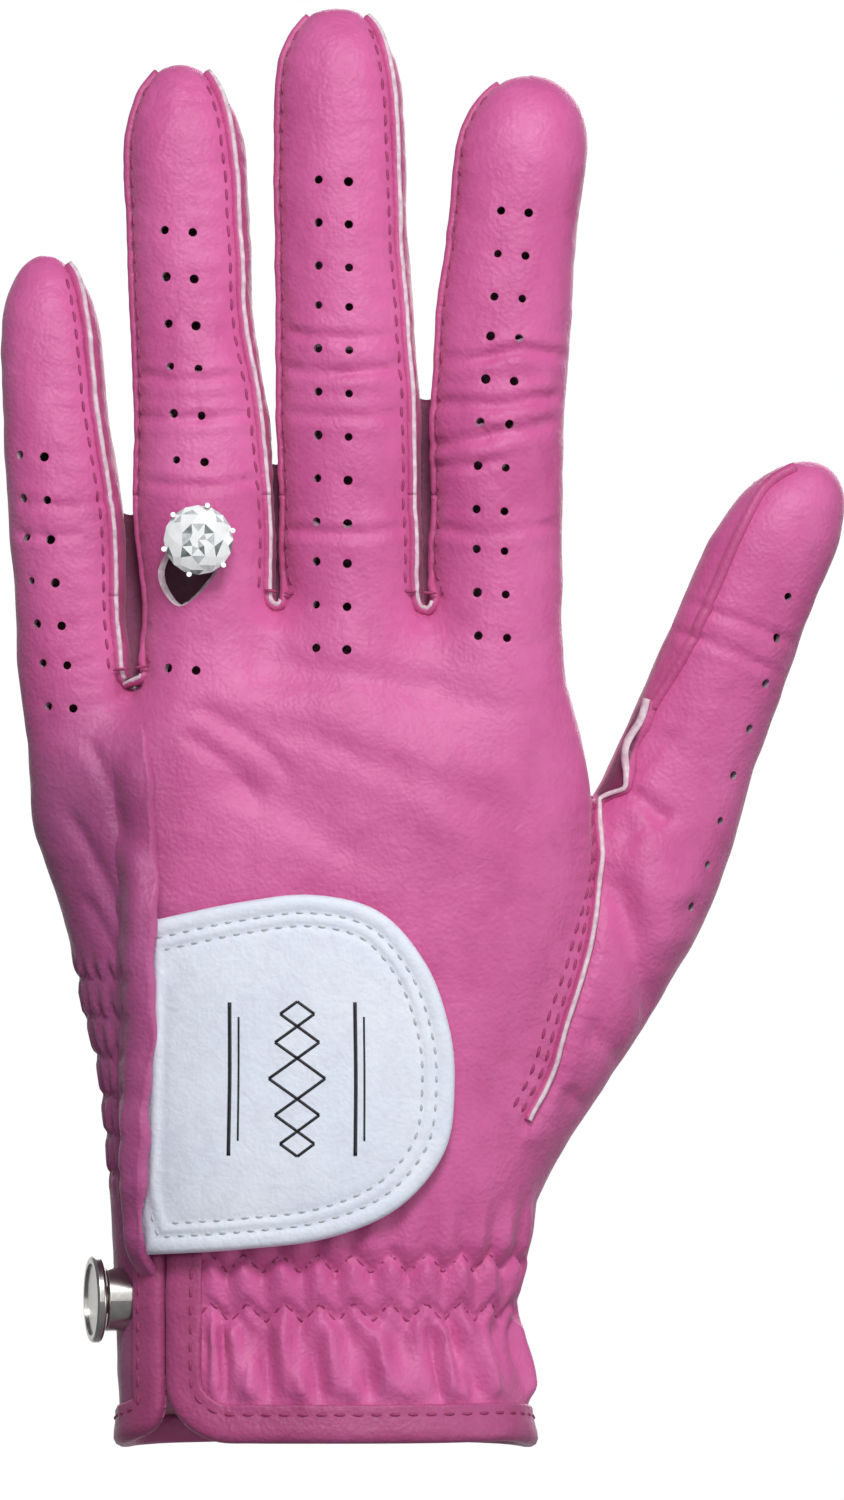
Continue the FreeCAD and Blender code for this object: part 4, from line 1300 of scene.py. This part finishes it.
KNUCKLE_BLEND = ("hand", "knuckles", (0, 0, 90.0), (0, 0, 112.0))
FINGER_BEND_REACH, THUMB_BEND_REACH = 10.5, 12.0
THUMB_HINGE, THUMB_LEAN = (56.3, 9.0, 111.0), 20.0


def finger_blend(name):
    hinge = FINGERS[name]["hinge"]
    return ("knuckles", name + "_finger", (0, 0, hinge - FINGER_BEND_REACH), (0, 0, hinge + FINGER_BEND_REACH))


def thumb_blend():
    lean = math.radians(THUMB_LEAN)
    reach = THUMB_BEND_REACH * np.array([math.sin(lean), 0.0, math.cos(lean)])
    return ("hand", "thumb", tuple(THUMB_HINGE - reach), tuple(THUMB_HINGE + reach))


def make_leather():
    """The panels. Each also stands for the CAD nodes that continue it beyond a joint."""
    points, normals, faces, fields = leather_skin()
    stand_for = {
        "back_panel": ("back_panel", "knuckle_back_panel"),
        "palm_panel": ("palm_panel", "knuckle_palm_panel", "knuckle_crease"),
        "thumb_panel": ("thumb_panel", "thumb_tip_panel", "thumb_crease"),
        "thumb_strip": ("thumb_strip", "thumb_tip_strip"),
        "little_tip_wrap": ("little_tip_wrap", "little_crease"),
    }
    for finger in LONG_FINGERS[1:]:
        stand_for[finger + "_tip_palm"] = (finger + "_tip_palm", finger + "_crease")
    free = np.full(len(faces), True)
    for name, field in fields.items():
        mine = free & (field > 0)
        free &= ~mine
        if not mine.any():
            continue
        strip = "strip" in name
        # the strips' leather and materials 3 and 4 are darker copies that paint shade
        materials = [LEATHER_STRIP_SHADED if strip else LEATHER_PINK, LINING, RAW_EDGE, LEATHER_SHADED, PUNCHED_EDGE_SHADED]
        made = leather_piece("leather_" + name, points, normals, faces[mine], materials)
        if name.startswith("thumb"):
            blend = thumb_blend()
        elif "_tip_" in name:
            blend = finger_blend(name.split("_")[0])
        else:
            blend = KNUCKLE_BLEND
        attach(made, None, blend, stand_for.get(name, (name,)))


# --- seams and stitches -------------------------------------------------------------------------------------------
FLANGE = round_profile(0.62, -0.5, 0.85, 10)
FLANGE_CORE = round_profile(0.34, 0.3, 1.12, 8)
BACK_WIDTH, PALM_WIDTH = 1.0, 0.85  # of the flange, over FLANGE
STITCH_AWAY = 1.75  # from a seam to its row of stitches
WEBS = {("little", "ring"): (-26.8, 106.5), ("ring", "middle"): (-7.2, 116.6), ("middle", "index"): (13.7, 116.4)}


def seam_run(name, side, seam, low, high, count=16):
    """Rough points up one side of a finger along a seam. Side is 1 towards the thumb."""
    tube = TUBES[name]
    z = np.linspace(low, high, count)
    y = tube.y(z) + seam * tip_closing(name, z)
    over = np.clip((z - tube.top[0]) / (tube.top[1] - tube.top[0]), 0, 0.99)
    x = tube.x(z) + side * tube.half_width_at(y, z) * np.sqrt(1 - over**CAP_POWER)
    return np.stack([x, y, z], axis=1)


def seam_pieces(name, points, normals, body=None, blend=None, white=None, width=1.0):
    """A seam with its plies standing up: the leather flange and, in its middle, the pale cut edge.

    White is the number of points, counted from the start, along which the cut edge shows; None is all of them.
    """
    # the flange takes the strips' darker pink, a painted shade
    parts = (("_flange", FLANGE, LEATHER_STRIP_SHADED, None, 0.0), ("_raw_edge", FLANGE_CORE, RAW_EDGE, white, 0.07))
    wide = np.broadcast_to(width, len(points))[:, None, None] * np.array([1.0, 0.5]) + np.array([0.0, 0.5])
    for label, profile, material, count, wobble in parts:
        if count == 0:
            continue
        line = (points + normals * (wobble * noise(points, 1.6, 6.0))[:, None])[:count]
        swept = sweep(line, normals[:count], profile * wide[:count])
        piece(name + label, [swept], material, body, blend=blend)


def stitch_piece(
    name, points, normals, body=None, blend=None, pitch=2.55, length=1.9, radius=0.23, lift=0.06, thread=THREAD,
):
    rows = capsule_row(points, normals, pitch, length, radius, lift)
    piece(name, rows, thread, body, blend=blend)


def make_finger_seams():
    """Along both sides of each strip, and round the webs between the fingers."""
    for name in LONG_FINGERS:
        split, tip = FINGERS[name]["split"], FINGERS[name]["tip"][1]
        blend = finger_blend(name)
        for side, seam, label in ((1, SEAM_RADIAL, "radial"), (-1, SEAM_ULNAR, "ulnar")):
            if not has_strip(name, side):
                continue
            for depth, face, width, sign in ((seam, "back", BACK_WIDTH, -1), (SEAM_PALM, "palm", PALM_WIDTH, 1)):
                points, normals = on_skin(seam_run(name, side, depth, split, tip - 1.4))
                title = f"seam_{name}_{label}_{face}"
                white = None if side == 1 and face == "back" else 0
                seam_pieces(title, points, normals, blend=blend, white=white, width=width)
                row, row_normals = sideways(points[:-4], normals[:-4], STITCH_AWAY * sign * side)
                stitch_piece(title + "_stitches", row, row_normals, blend=blend)
    for (left, right), (x, z) in WEBS.items():
        bottom = [(x - 1.3, z + 0.9), (x, z), (x + 1.3, z + 0.9)]
        for face, y, seams, width, sign in (
            ("back", -4.6, (SEAM_RADIAL, SEAM_ULNAR), BACK_WIDTH, 1),
            ("palm", 4.6, (SEAM_PALM, SEAM_PALM), PALM_WIDTH, -1),
        ):
            down = seam_run(left, 1, seams[0], z + 4.4, FINGERS[left]["split"], 8)[::-1]
            up = seam_run(right, -1, seams[1], z + 4.4, FINGERS[right]["split"], 8)
            points, normals = on_skin(np.concatenate([down, [(bx, y, bz) for bx, bz in bottom], up]))
            title = f"fork_{left}_{right}_{face}"
            white = int(points[:, 2].argmin()) + 3 if face == "back" else 0
            seam_pieces(title, points, normals, blend=KNUCKLE_BLEND, white=white, width=width)
            row, row_normals = sideways(points, normals, STITCH_AWAY * sign)
            keep = (np.abs(row_normals[:, 1]) > 0.4) & (np.hypot(row[:, 0] - x, row[:, 2] - z) > 3.0)
            stitch_piece(title + "_stitches", row[keep], row_normals[keep], blend=KNUCKLE_BLEND)


GUSSETS = {("little", "ring"): (107.0, 131.0), ("ring", "middle"): (117.0, 138.0), ("middle", "index"): (117.0, 147.0)}


def make_gussets():
    """The leather that joins two strips behind each gap, sloping up towards the palm, nearly black with painted shade:
    the gaps between the fingers lie in shadow.
    """
    for (left, right), (low, high) in GUSSETS.items():
        z = np.linspace(low - 1.5, high, 22)
        up = (z - z[0]) / (z[-1] - z[0])
        deep = -2.5 + 6.5 * np.sqrt(up)
        start_x, stop_x = (
            TUBES[name].x(z) + side * (TUBES[name].half_width_at(deep, z) - 0.9)
            for name, side in ((left, 1), (right, -1))
        )
        columns = []
        for thick, shares in ((0.0, np.linspace(0, 1, 9)), (0.9, np.linspace(1, 0, 9))):
            for share in shares:
                sag = 4.0 * share * (1 - share)
                x = start_x + (stop_x - start_x) * share
                columns.append(np.stack([x, deep + thick, z - 1.6 * sag * up], axis=1))
        rings = np.stack(columns, axis=1)
        n, m = rings.shape[:2]
        k = np.arange(m // 2)
        start = np.stack([k[1:], k[:-1], m - 1 - k[:-1], m - 1 - k[1:]], axis=1)
        faces = np.concatenate([quads_between(n, m), start, start[:, ::-1] + (n - 1) * m])
        title = f"fork_gusset_{left}_{right}"
        piece(title, [(rings.reshape(-1, 3), faces)], LEATHER_FORK_SHADED, "knuckles")


THUMB_RIDGE = [(65.3, 136.2), (61.4, 133.2), (57.6, 126.6), (54.6, 119.7), (51.2, 112.0), (46.8, 104.6), (45.6, 102.4)]


def face_line(line, back=True):
    """A line of (x, z) brought onto the finished leather of the back or of the palm."""
    x, z = np.array(line).T
    return on_skin(on_face(x, z, back))


def make_thumb_seams():
    points, normals = face_line(THUMB_RIDGE)
    seam_pieces("seam_thumb_ridge", points, normals, blend=thumb_blend(), white=0, width=1.25)
    crotch = [(45.6, 103.4), (44.6, 100.4), (42.8, 97.0), (42.3, 93.6), (42.0, 91.4)]
    points, normals = face_line(crotch + THUMB_EDGE_BACK[1:])
    wide = 1.0 + 0.9 * ease(points[:, 2], 90.5, 96.0)
    seam_pieces("seam_thumb_back", points, normals, body="hand", width=wide)
    below_crotch = slice(31, None)
    for number, away in enumerate((1.6, 3.1)):
        row, row_normals = sideways(points[below_crotch], normals[below_crotch], away)
        stitch_piece(f"seam_thumb_back_stitches_{number + 1}", row, row_normals, body="hand")
    points, normals = face_line(THUMB_EDGE_PALM, back=False)
    seam_pieces("seam_thumb_palm", points, normals, body="hand", white=0)
    row, row_normals = sideways(points, normals, 1.7)
    stitch_piece("seam_thumb_palm_stitches", row, row_normals, body="hand")


# --- the bound edge -----------------------------------------------------------------------------------------------
BINDING_PROFILE = [
    (-4.5, 0.02), (-4.45, 0.45), (-4.1, 0.66), (-3.4, 0.60), (-2.6, 0.70), (-1.2, 0.92), (-0.2, 0.95), (0.52, 0.62),
    (0.84, 0.0), (0.80, -0.7), (0.4, -1.35), (-0.5, -1.72), (-2.6, -1.75), (-3.2, -1.5), (-3.1, -1.1), (-1.0, -1.02),
    (-0.12, -0.55), (-0.3, 0.0),
]


def hugging_sweep(points, normals, profile):
    """A sweep whose profile follows the leather sideways: each of its lines is laid on the surface by itself."""
    side = np.cross(tangents(points), normals)
    side /= np.linalg.norm(side, axis=1)[:, None]
    lines = []
    for across, up in profile:
        on, out = skin(points + side * across)
        lines.append(on + out * up)
    return tube_mesh(np.stack(lines, axis=1))


def hem_path():
    """Down one side of the slit, round its corner, along the hem round the wrist, and up the other side."""
    right, left = SLIT_X + 0.86, SLIT_X - 0.86
    high = 27.5
    down = [(right, z) for z in np.linspace(high, 12.5, 5)]
    level = hem_level(-14.0)
    turn = np.radians(np.linspace(195, 262, 4))
    down += [(right + 8 + 8 * math.cos(a), level + 8 + 8 * math.sin(a)) for a in turn]
    points = [on_face(x, z) for x, z in down]
    for degrees in np.linspace(-104, 192, 38):
        p = around_wrist(math.radians(degrees), 2.0)
        points.append(around_wrist(math.radians(degrees), hem_level(p[1])))
    level = hem_level(-12.0)
    turn = np.radians(np.linspace(-75, -15, 3))
    up = [(left - 4.5 + 4.5 * math.cos(a), level + 4.5 + 4.5 * math.sin(a)) for a in turn]
    up += [(left, z) for z in np.linspace(8.5, high, 5)]
    points += [on_face(x, z) for x, z in up]
    return on_skin(points, 0.8)


def make_binding():
    points, normals = hem_path()
    # the binding is the darker copy of the pink: painted shade
    piece(
        "edge_binding", [hugging_sweep(points, normals, BINDING_PROFILE)], LEATHER_SHADED, "hand",
        replaces=("hem_binding", "slit_facing_back", "slit_facing_palm"),
    )
    row, row_normals = sideways(points[2:-2], normals[2:-2], -3.1)
    stitch_piece("edge_binding_stitches", row, row_normals, body="hand", pitch=2.5, length=1.8, lift=0.68)


def band(name, rough, replaces):
    """An elastic under the leather, from a grid of rough points on the hand."""
    rows, columns = rough.shape[:2]
    points, normals = skin(rough.reshape(-1, 3))
    grid = np.concatenate([points - normals * (LEATHER + 0.1), points - normals * (LEATHER + 0.75)])
    i, j = np.meshgrid(np.arange(rows - 1), np.arange(columns - 1), indexing="ij")
    a = (i * columns + j).ravel()
    top = np.stack([a, a + 1, a + columns + 1, a + columns], axis=1)
    shift = rows * columns
    ids = np.arange(shift).reshape(rows, columns)
    border = np.concatenate([ids[0], ids[1:, -1], ids[-1, -2::-1], ids[-2:0:-1, 0]])
    after = np.roll(border, -1)
    rim = np.stack([border, border + shift, after + shift, after], axis=1)
    faces = np.concatenate([top, top[:, ::-1] + shift, rim])
    piece(name, [(grid, faces)], ELASTIC, "hand", replaces=replaces)


def make_elastics():
    z = np.linspace(17.2, 28.8, 14)
    for side, low, high in (("back", -18.5, 24.0), ("palm", -22.0, 20.0)):
        x = np.linspace(low, high, 90)
        grid_x, grid_z = np.meshgrid(x, z)
        rough = on_face(grid_x.ravel(), grid_z.ravel(), side == "back").reshape(len(z), len(x), 3)
        if side == "palm":
            rough = rough[:, ::-1]
        band("gather_elastic_" + side, rough, ("wrist_elastic_" + side,))
    z = np.linspace(38.3, 64.7, 26)
    y = np.linspace(7.5, -10.5, 24)
    grid_y, grid_z = np.meshgrid(y, z)
    grid_x = PALM.x(grid_z) - PALM.half_width_at(grid_y, grid_z)
    band("gather_elastic_side", np.stack([grid_x, grid_y, grid_z], axis=-1), ("side_elastic",))


def make_gather_stitches():
    """The zigzag rows that sew the elastics to the leather, on the back, the palm and the little-finger side."""
    for number, row in enumerate(GATHER_ROWS):
        for label, start, stop in (("back", -19.0, 25.5), ("palm", -20.0, 20.0)):
            steps = np.arange(start, stop, 0.55)
            rough = on_face(steps, np.full(len(steps), row), label == "back")
            arc = wrist_arc(rough)
            rough[:, 2] = row + zigzag(arc + gather_jitter(arc, np.full(len(arc), row)))
            stitch_piece(
                f"gather_{label}_{number + 1}", *skin(rough), body="hand",
                pitch=2.1, length=1.75, radius=0.2, lift=0.05,
            )
    for number, row in enumerate(SIDE_ROWS):
        steps = np.linspace(-4.0, -12.5, 22)
        rough = settle(np.stack([np.full(len(steps), -36.0), steps, np.full(len(steps), row)], axis=1), 6)
        rough[:, 2] = row + zigzag(side_arc(rough), SIDE_PERIOD, SIDE_SWING)
        keep = rough[:, 0] < -24.6
        if keep.sum() >= 6:
            stitch_piece(
                f"side_gather_{number + 1}", *skin(rough[keep]), body="hand",
                pitch=1.9, length=1.5, radius=0.17, lift=0.02,
            )


# --- the tab ------------------------------------------------------------------------------------------------------
TAB_LEFT = -25.4
TAB_CURVE = [
    (-23.0, 73.3), (-12.0, 75.6), (-1.7, 76.7), (7.5, 74.4), (13.7, 67.4), (16.7, 59.0), (17.4, 51.0), (16.0, 41.6),
    (10.0, 34.0), (0.6, 29.8), (-11.0, 28.2), (-23.0, 27.3),
]
TAB_LOW, TAB_HIGH = 2.1, 3.3
TAB_STITCHES = (2.5, 4.3)
TAB_MIDDLE = np.array([-5.0, 51.5])


TAB_BLEND = ("hand", "tab", (-23.6, -14.0, 51.0), (-16.5, -14.0, 51.0))


def tab_outline():
    """Points round the tab: its top edge, its rounded end, its lower edge and its root under the fold."""
    curve = even_curve(TAB_CURVE, 0.9)
    top = [(x, 73.3 + (x + 23.0) * 0.2) for x in np.linspace(TAB_LEFT, -23.6, 4)]
    low = [(-23.6, 27.3), (-23.8, 28.6), (-24.2, 30.6), (-24.9, 33.0)]
    left = [(TAB_LEFT, z) for z in np.linspace(35.0, top[0][1] - 1.5, 28)]
    return np.concatenate([top, curve, low, left])


def tab_inset(outline, depth):
    """The outline moved inwards."""
    run = np.roll(outline, -1, axis=0) - np.roll(outline, 1, axis=0)
    run /= np.linalg.norm(run, axis=1)[:, None]
    inward = np.stack([run[:, 1], -run[:, 0]], axis=1)
    inward *= np.sign(((TAB_MIDDLE - outline) * inward).sum(axis=1))[:, None]
    moved = outline + inward * depth
    for _ in range(2):
        moved = 0.5 * moved + 0.25 * (np.roll(moved, 1, axis=0) + np.roll(moved, -1, axis=0)) if depth > 1 else moved
    return moved


def hand_plain(x, z):
    """The back of the hand under the tab, without its relief, and its normal."""
    points = on_face(x, z)
    normals, _ = slope_of(points)
    return points, normals


def tab_waves(base):
    """The tab's slow waves."""
    return 0.10 * noise(base, 9.0, 8.0)


def tab_height(depth, x):
    """Height of the tab's face over the hand, by the distance from its edge. It is pared thin under the fold."""
    d = np.clip(depth / 0.85, 0, 1)
    height = TAB_LOW + 0.25 + (TAB_HIGH - TAB_LOW - 0.25) * np.sqrt(1 - (1 - d) ** 2)
    for row in TAB_STITCHES:
        height = height - 0.22 * bump(depth - row, 0.42)
    height = height + 0.10 * bump(depth - 3.4, 0.5) + 0.12 * bump(depth - 1.3, 0.7) + 0.25 * ease(depth, 5.0, 11.0)
    return np.maximum(height - 1.3 * ease(x, -22.0, -24.4), TAB_LOW + 0.2)


def make_tab():
    outline = tab_outline()
    reach = np.linalg.norm(outline - TAB_MIDDLE, axis=1)
    closed = np.concatenate([outline, outline[:1]])
    depths = [0.0, 0.08, 0.22, 0.42, 0.65, 0.9, 1.3, 1.7, 2.1, 2.5, 2.9, 3.4, 3.9, 4.3, 4.7, 5.3, 6.0]
    shares = [1 - depth / reach for depth in depths]
    shares += [shares[-1] * share for share in (0.86, 0.72, 0.58, 0.44, 0.3, 0.16, 0.05)]
    top, under = [], []
    for share in shares:
        ring = TAB_MIDDLE + (outline - TAB_MIDDLE) * share[:, None]
        base, out = hand_plain(ring[:, 0], ring[:, 1])
        depth, _, _ = line_distance(ring[:, 0], ring[:, 1], closed)
        top.append(base + out * (tab_height(depth, ring[:, 0]) + tab_waves(base))[:, None])
        under.append(base + out * TAB_LOW)
    piece(
        "closure_tab_leather", [tube_mesh(np.stack(under[::-1] + top))], LEATHER_WHITE,
        blend=TAB_BLEND, replaces=("closure_tab", "tab_root"),
    )
    for number, depth in enumerate(TAB_STITCHES):
        ring = tab_inset(outline, depth)
        away, _, _ = line_distance(ring[:, 0], ring[:, 1], closed)
        beside = (ring[:, 0] < -18.0) & (ring[:, 1] > 33.5) & (ring[:, 1] < 68.0)
        ring = ring[(ring[:, 0] > -23.9) & (away > depth - 0.12) & ~beside]
        start = int(np.argmax(np.linalg.norm(np.diff(ring, axis=0), axis=1))) + 1
        ring = even_curve(np.roll(ring, -start, axis=0), 0.7)
        base, out = hand_plain(ring[:, 0], ring[:, 1])
        line = base + out * (tab_height(np.full(len(ring), depth), ring[:, 0]) + tab_waves(base))[:, None]
        stitch_piece(
            f"closure_tab_stitches_{number + 1}", line, out, blend=TAB_BLEND,
            pitch=1.95, length=1.25, radius=0.22, lift=0.02, thread=THREAD_GREY,
        )
    make_tab_mark()


def on_tab(x, z):
    """A point on the tab's face away from its edge."""
    base, out = hand_plain(x, z)
    return base + out * (TAB_HIGH + 0.25 + tab_waves(base))[:, None], out


def ink_line(points, half_width=0.26):
    line = even_curve(points, 0.5)
    on, out = on_tab(line[:, 0], line[:, 1])
    return sweep(on, out, [(-half_width, -0.08), (half_width, -0.08), (half_width, 0.035), (-half_width, 0.035)])


def make_tab_mark():
    """A plain printed ornament: a row of lozenges between two pairs of lines."""
    parts = []
    for x in (-12.6, 4.2):
        parts.append(ink_line([(x, 41.0), (x + 0.1, 51.5), (x, 62.0)]))
        parts.append(ink_line([(x + 1.2, 43.0), (x + 1.25, 51.5), (x + 1.2, 60.0)], 0.14))
    for z, size in ((42.6, 1.7), (46.5, 2.2), (51.5, 2.8), (56.5, 2.2), (60.4, 1.7)):
        x = -3.6
        ring = [(x, z - size), (x + size * 1.35, z), (x, z + size), (x - size * 1.35, z)]
        for a, b in zip(ring, ring[1:] + ring[:1]):
            parts.append(ink_line([a, ((a[0] + b[0]) / 2, (a[1] + b[1]) / 2), b], 0.2))
    piece("closure_tab_ornament", parts, INK, blend=TAB_BLEND)


# --- the fold of the palm panel over the tab's root ---------------------------------------------------------------
def fold_edge(z):
    return np.interp(z, [27.0, 45.0, 60.0, 76.0, 90.0, 104.0], [-23.4, -22.8, -22.5, -22.7, -23.7, -25.6])


def make_fold():
    """The fold's leather, highest where it lies over the tab, flattening out towards both its ends."""
    z = np.arange(22.0, 105.4, 0.7)
    height = 1.4 + 3.4 * ease(z, 86.0, 74.0)
    height = height * ease(z, 105.6, 92.0) - 0.5 * ease(z, 96.0, 104.0)
    height = height * ease(z, 22.5, 30.5) - 0.5 * ease(z, 26.0, 22.5)
    edge = fold_edge(z) + 0.2 * np.sin(z * 0.35) + 0.12 * np.sin(z * 0.9)
    wide = np.minimum(6.8, edge - (PALM.x(z) - PALM.hw(z)) - 1.8)
    columns = []
    for share in (0.0, 0.08, 0.16, 0.24, 0.32, 0.42, 0.52, 0.62, 0.72, 0.82, 0.9, 0.96, 1.0):
        x = edge - wide * (1 - share)
        base, out = hand_plain(x, z)
        lift = relief(base, out) * (1 - 0.6 * ease(share, 0.3, 0.8))
        puff = 0.8 * noise(base, 6.0, 2.7) * ease(share, 0.15, 0.6)
        columns.append(base + out * (lift - 0.45 + (height + 0.45) * ease(share, 0.0, 0.74) + puff)[:, None])
    base, out = hand_plain(edge, z)
    for across, down in ((0.42, 0.16), (0.62, 0.42), (0.58, 0.75), (0.2, 1.0)):
        columns.append(base + out * np.maximum(height - down * 1.15, -0.7)[:, None] + np.array([across, 0, 0]))
    for share in (0.8, 0.5, 0.2, 0.0):
        x = edge - wide * (1 - share)
        base, out = hand_plain(x, z)
        under = np.maximum((height - 1.2) * ease(share, 0.0, 0.74), -0.9)
        columns.append(base + out * (under - 0.9 + 0.8 * share)[:, None])
    piece(
        "palm_panel_fold", [tube_mesh(np.stack(columns, axis=1))], LEATHER_PINK,
        blend=KNUCKLE_BLEND, replaces=("slit_fold",),
    )


# --- the ring's stone ---------------------------------------------------------------------------------------------
def make_stone():
    """A round brilliant with its facets, in the place of the CAD stone, each facet painted with a bright, grey or dark
    reflection.
    """
    low, high = (np.array(corner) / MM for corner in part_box("ring_stone"))
    centre, radius = (low + high) / 2, (high[0] - low[0]) / 2
    girdle = low[1] + 1.25
    crown = low[1] - girdle
    pavilion = high[1] - girdle
    levels = [  # share of the radius, place along y, number of corners, shift in corners
        (0.0, crown, 1, 0.0), (0.24, crown * 0.985, 8, 0.0), (0.50, crown * 0.94, 8, 0.5), (0.72, crown * 0.72, 8, 0.0),
        (0.88, crown * 0.40, 16, 0.5), (1.0, -0.10, 16, 0.0), (1.0, 0.12, 16, 0.0),
        (0.52, pavilion * 0.52, 8, 0.0), (0.02, pavilion, 4, 0.0),
    ]
    mesh = bmesh.new()
    for share, y, count, shift in levels:
        for k in range(count):
            turn = 2 * math.pi * (k + shift) / count
            across, up = share * radius * math.cos(turn), share * radius * math.sin(turn)
            mesh.verts.new(Vector((centre[0] + across, girdle + y, centre[2] + up)) * MM)
    bmesh.ops.convex_hull(mesh, input=mesh.verts)
    bmesh.ops.recalc_face_normals(mesh, faces=mesh.faces)
    data = bpy.data.meshes.new("ring_brilliant")
    mesh.to_mesh(data)
    mesh.free()
    for material in (STONE_BRIGHT_REFLECTION, STONE_GREY_REFLECTION, STONE_DARK_REFLECTION):
        data.materials.append(material)
    # painted reflections: each facet is bright, grey or dark at random
    for polygon in data.polygons:
        polygon.material_index = int(RNG.choice(3, p=(0.66, 0.26, 0.08)))
    made = bpy.data.objects.new("ring_brilliant", data)
    bpy.context.scene.collection.objects.link(made)
    attach(made, "knuckles", None, ("ring_stone",))


# --- camera, lights and backdrop ----------------------------------------------------------------------------------
VIEW_HEIGHT, VIEW_DISTANCE, SENSOR = 0.2081, 1.5, 24.0  # the height seen and the camera's distance, in metres
VIEW_MIDDLE = (0.01345, 0.0967)
BACKDROP_LOW, BACKDROP_HIGH = (-1600.0, 3200.0, -1700.0), (1600.0, 3200.0, 1900.0)
LAMPS = {  # place, size of the square and power
    "key": ((0.08, -0.62, 0.62), 0.24, 4.1),
    "side": ((0.85, -0.45, 0.0), 0.3, 1.6),
    "fill": ((0.1, -1.2, 0.4), 0.8, 2.6),
    "palm": ((0.3, 1.3, 0.6), 0.9, 10.0),
}


def studio():
    """The camera in front of the glove's back, a pale backdrop, the lamps and a soft sky."""
    scene = bpy.context.scene
    scene.view_settings.view_transform = "Standard"
    low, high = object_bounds()
    middle = (Vector(low) + Vector(high)) / 2
    camera = bpy.data.objects.new("camera", bpy.data.cameras.new("camera"))
    scene.collection.objects.link(camera)
    camera.data.sensor_fit = "VERTICAL"
    camera.data.sensor_height = SENSOR
    camera.data.sensor_width = SENSOR
    camera.data.lens = SENSOR * VIEW_DISTANCE / VIEW_HEIGHT
    camera.location = (VIEW_MIDDLE[0], -VIEW_DISTANCE, VIEW_MIDDLE[1])
    camera.rotation_euler = (math.radians(90), 0, 0)
    scene.camera = camera

    pale, nodes, links, shader = node_tree("pale_backdrop")
    speckle = texture(nodes, links, "Noise", 3.0)
    tint = ramp(nodes, links, speckle.outputs["Fac"], [(0.0, (0.97, 0.97, 0.97)), (1.0, (1.0, 1.0, 1.0))])
    links.new(tint.outputs["Color"], shader.inputs["Emission Color"])
    shader.inputs["Emission Strength"].default_value = 1.0
    shader.inputs["Base Color"].default_value = (0.05, 0.05, 0.05, 1.0)
    (x0, y, z0), (x1, _, z1) = BACKDROP_LOW, BACKDROP_HIGH
    corners = np.array([(x0, y, z0), (x1, y, z0), (x1, y, z1), (x0, y, z1)])
    backdrop = new_object("backdrop", corners, np.array([(0, 1, 2, 3)]), [pale])
    backdrop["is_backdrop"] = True

    for name, (place, size, power) in LAMPS.items():
        light = bpy.data.objects.new(name, bpy.data.lights.new(name, "AREA"))
        light.data.shape = "RECTANGLE"
        light.data.size = light.data.size_y = size
        light.data.energy = power
        light.location = place
        light.rotation_euler = (middle - Vector(place)).to_track_quat("-Z", "Y").to_euler()
        scene.collection.objects.link(light)

    world = bpy.data.worlds.new("studio")
    world.use_nodes = True
    nodes, links = world.node_tree.nodes, world.node_tree.links
    towards = nodes.new("ShaderNodeSeparateXYZ")
    links.new(nodes.new("ShaderNodeTexCoord").outputs["Generated"], towards.inputs["Vector"])
    front = nodes.new("ShaderNodeMapRange")
    front.inputs["From Min"].default_value, front.inputs["From Max"].default_value = 1.0, -1.0
    links.new(towards.outputs["Y"], front.inputs["Value"])
    greys = [(0.0, (0.62, 0.62, 0.63)), (0.5, (0.34, 0.34, 0.36)), (1.0, (0.66, 0.66, 0.68))]
    sky = ramp(nodes, links, front.outputs["Result"], greys)
    links.new(sky.outputs["Color"], nodes["Background"].inputs["Color"])
    nodes["Background"].inputs["Strength"].default_value = 0.42
    scene.world = world


# --- CAD nodes that keep their shape ------------------------------------------------------------------------------
def carried_over():
    """Better materials on the CAD nodes that stay."""
    finish = {
        "stud_socket": NICKEL, "stud_cap": NICKEL, "ball_marker": NICKEL, "ring_band_and_claws": SILVER,
        "hook_patch": HOOKS, "loop_patch": LOOPS,
    }
    for name, material in finish.items():
        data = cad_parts[name].data
        data.materials.clear()
        data.materials.append(material)


studio()
make_leather()
make_finger_seams()
make_gussets()
make_thumb_seams()
make_binding()
make_elastics()
make_gather_stitches()
make_tab()
make_fold()
make_stone()
carried_over()
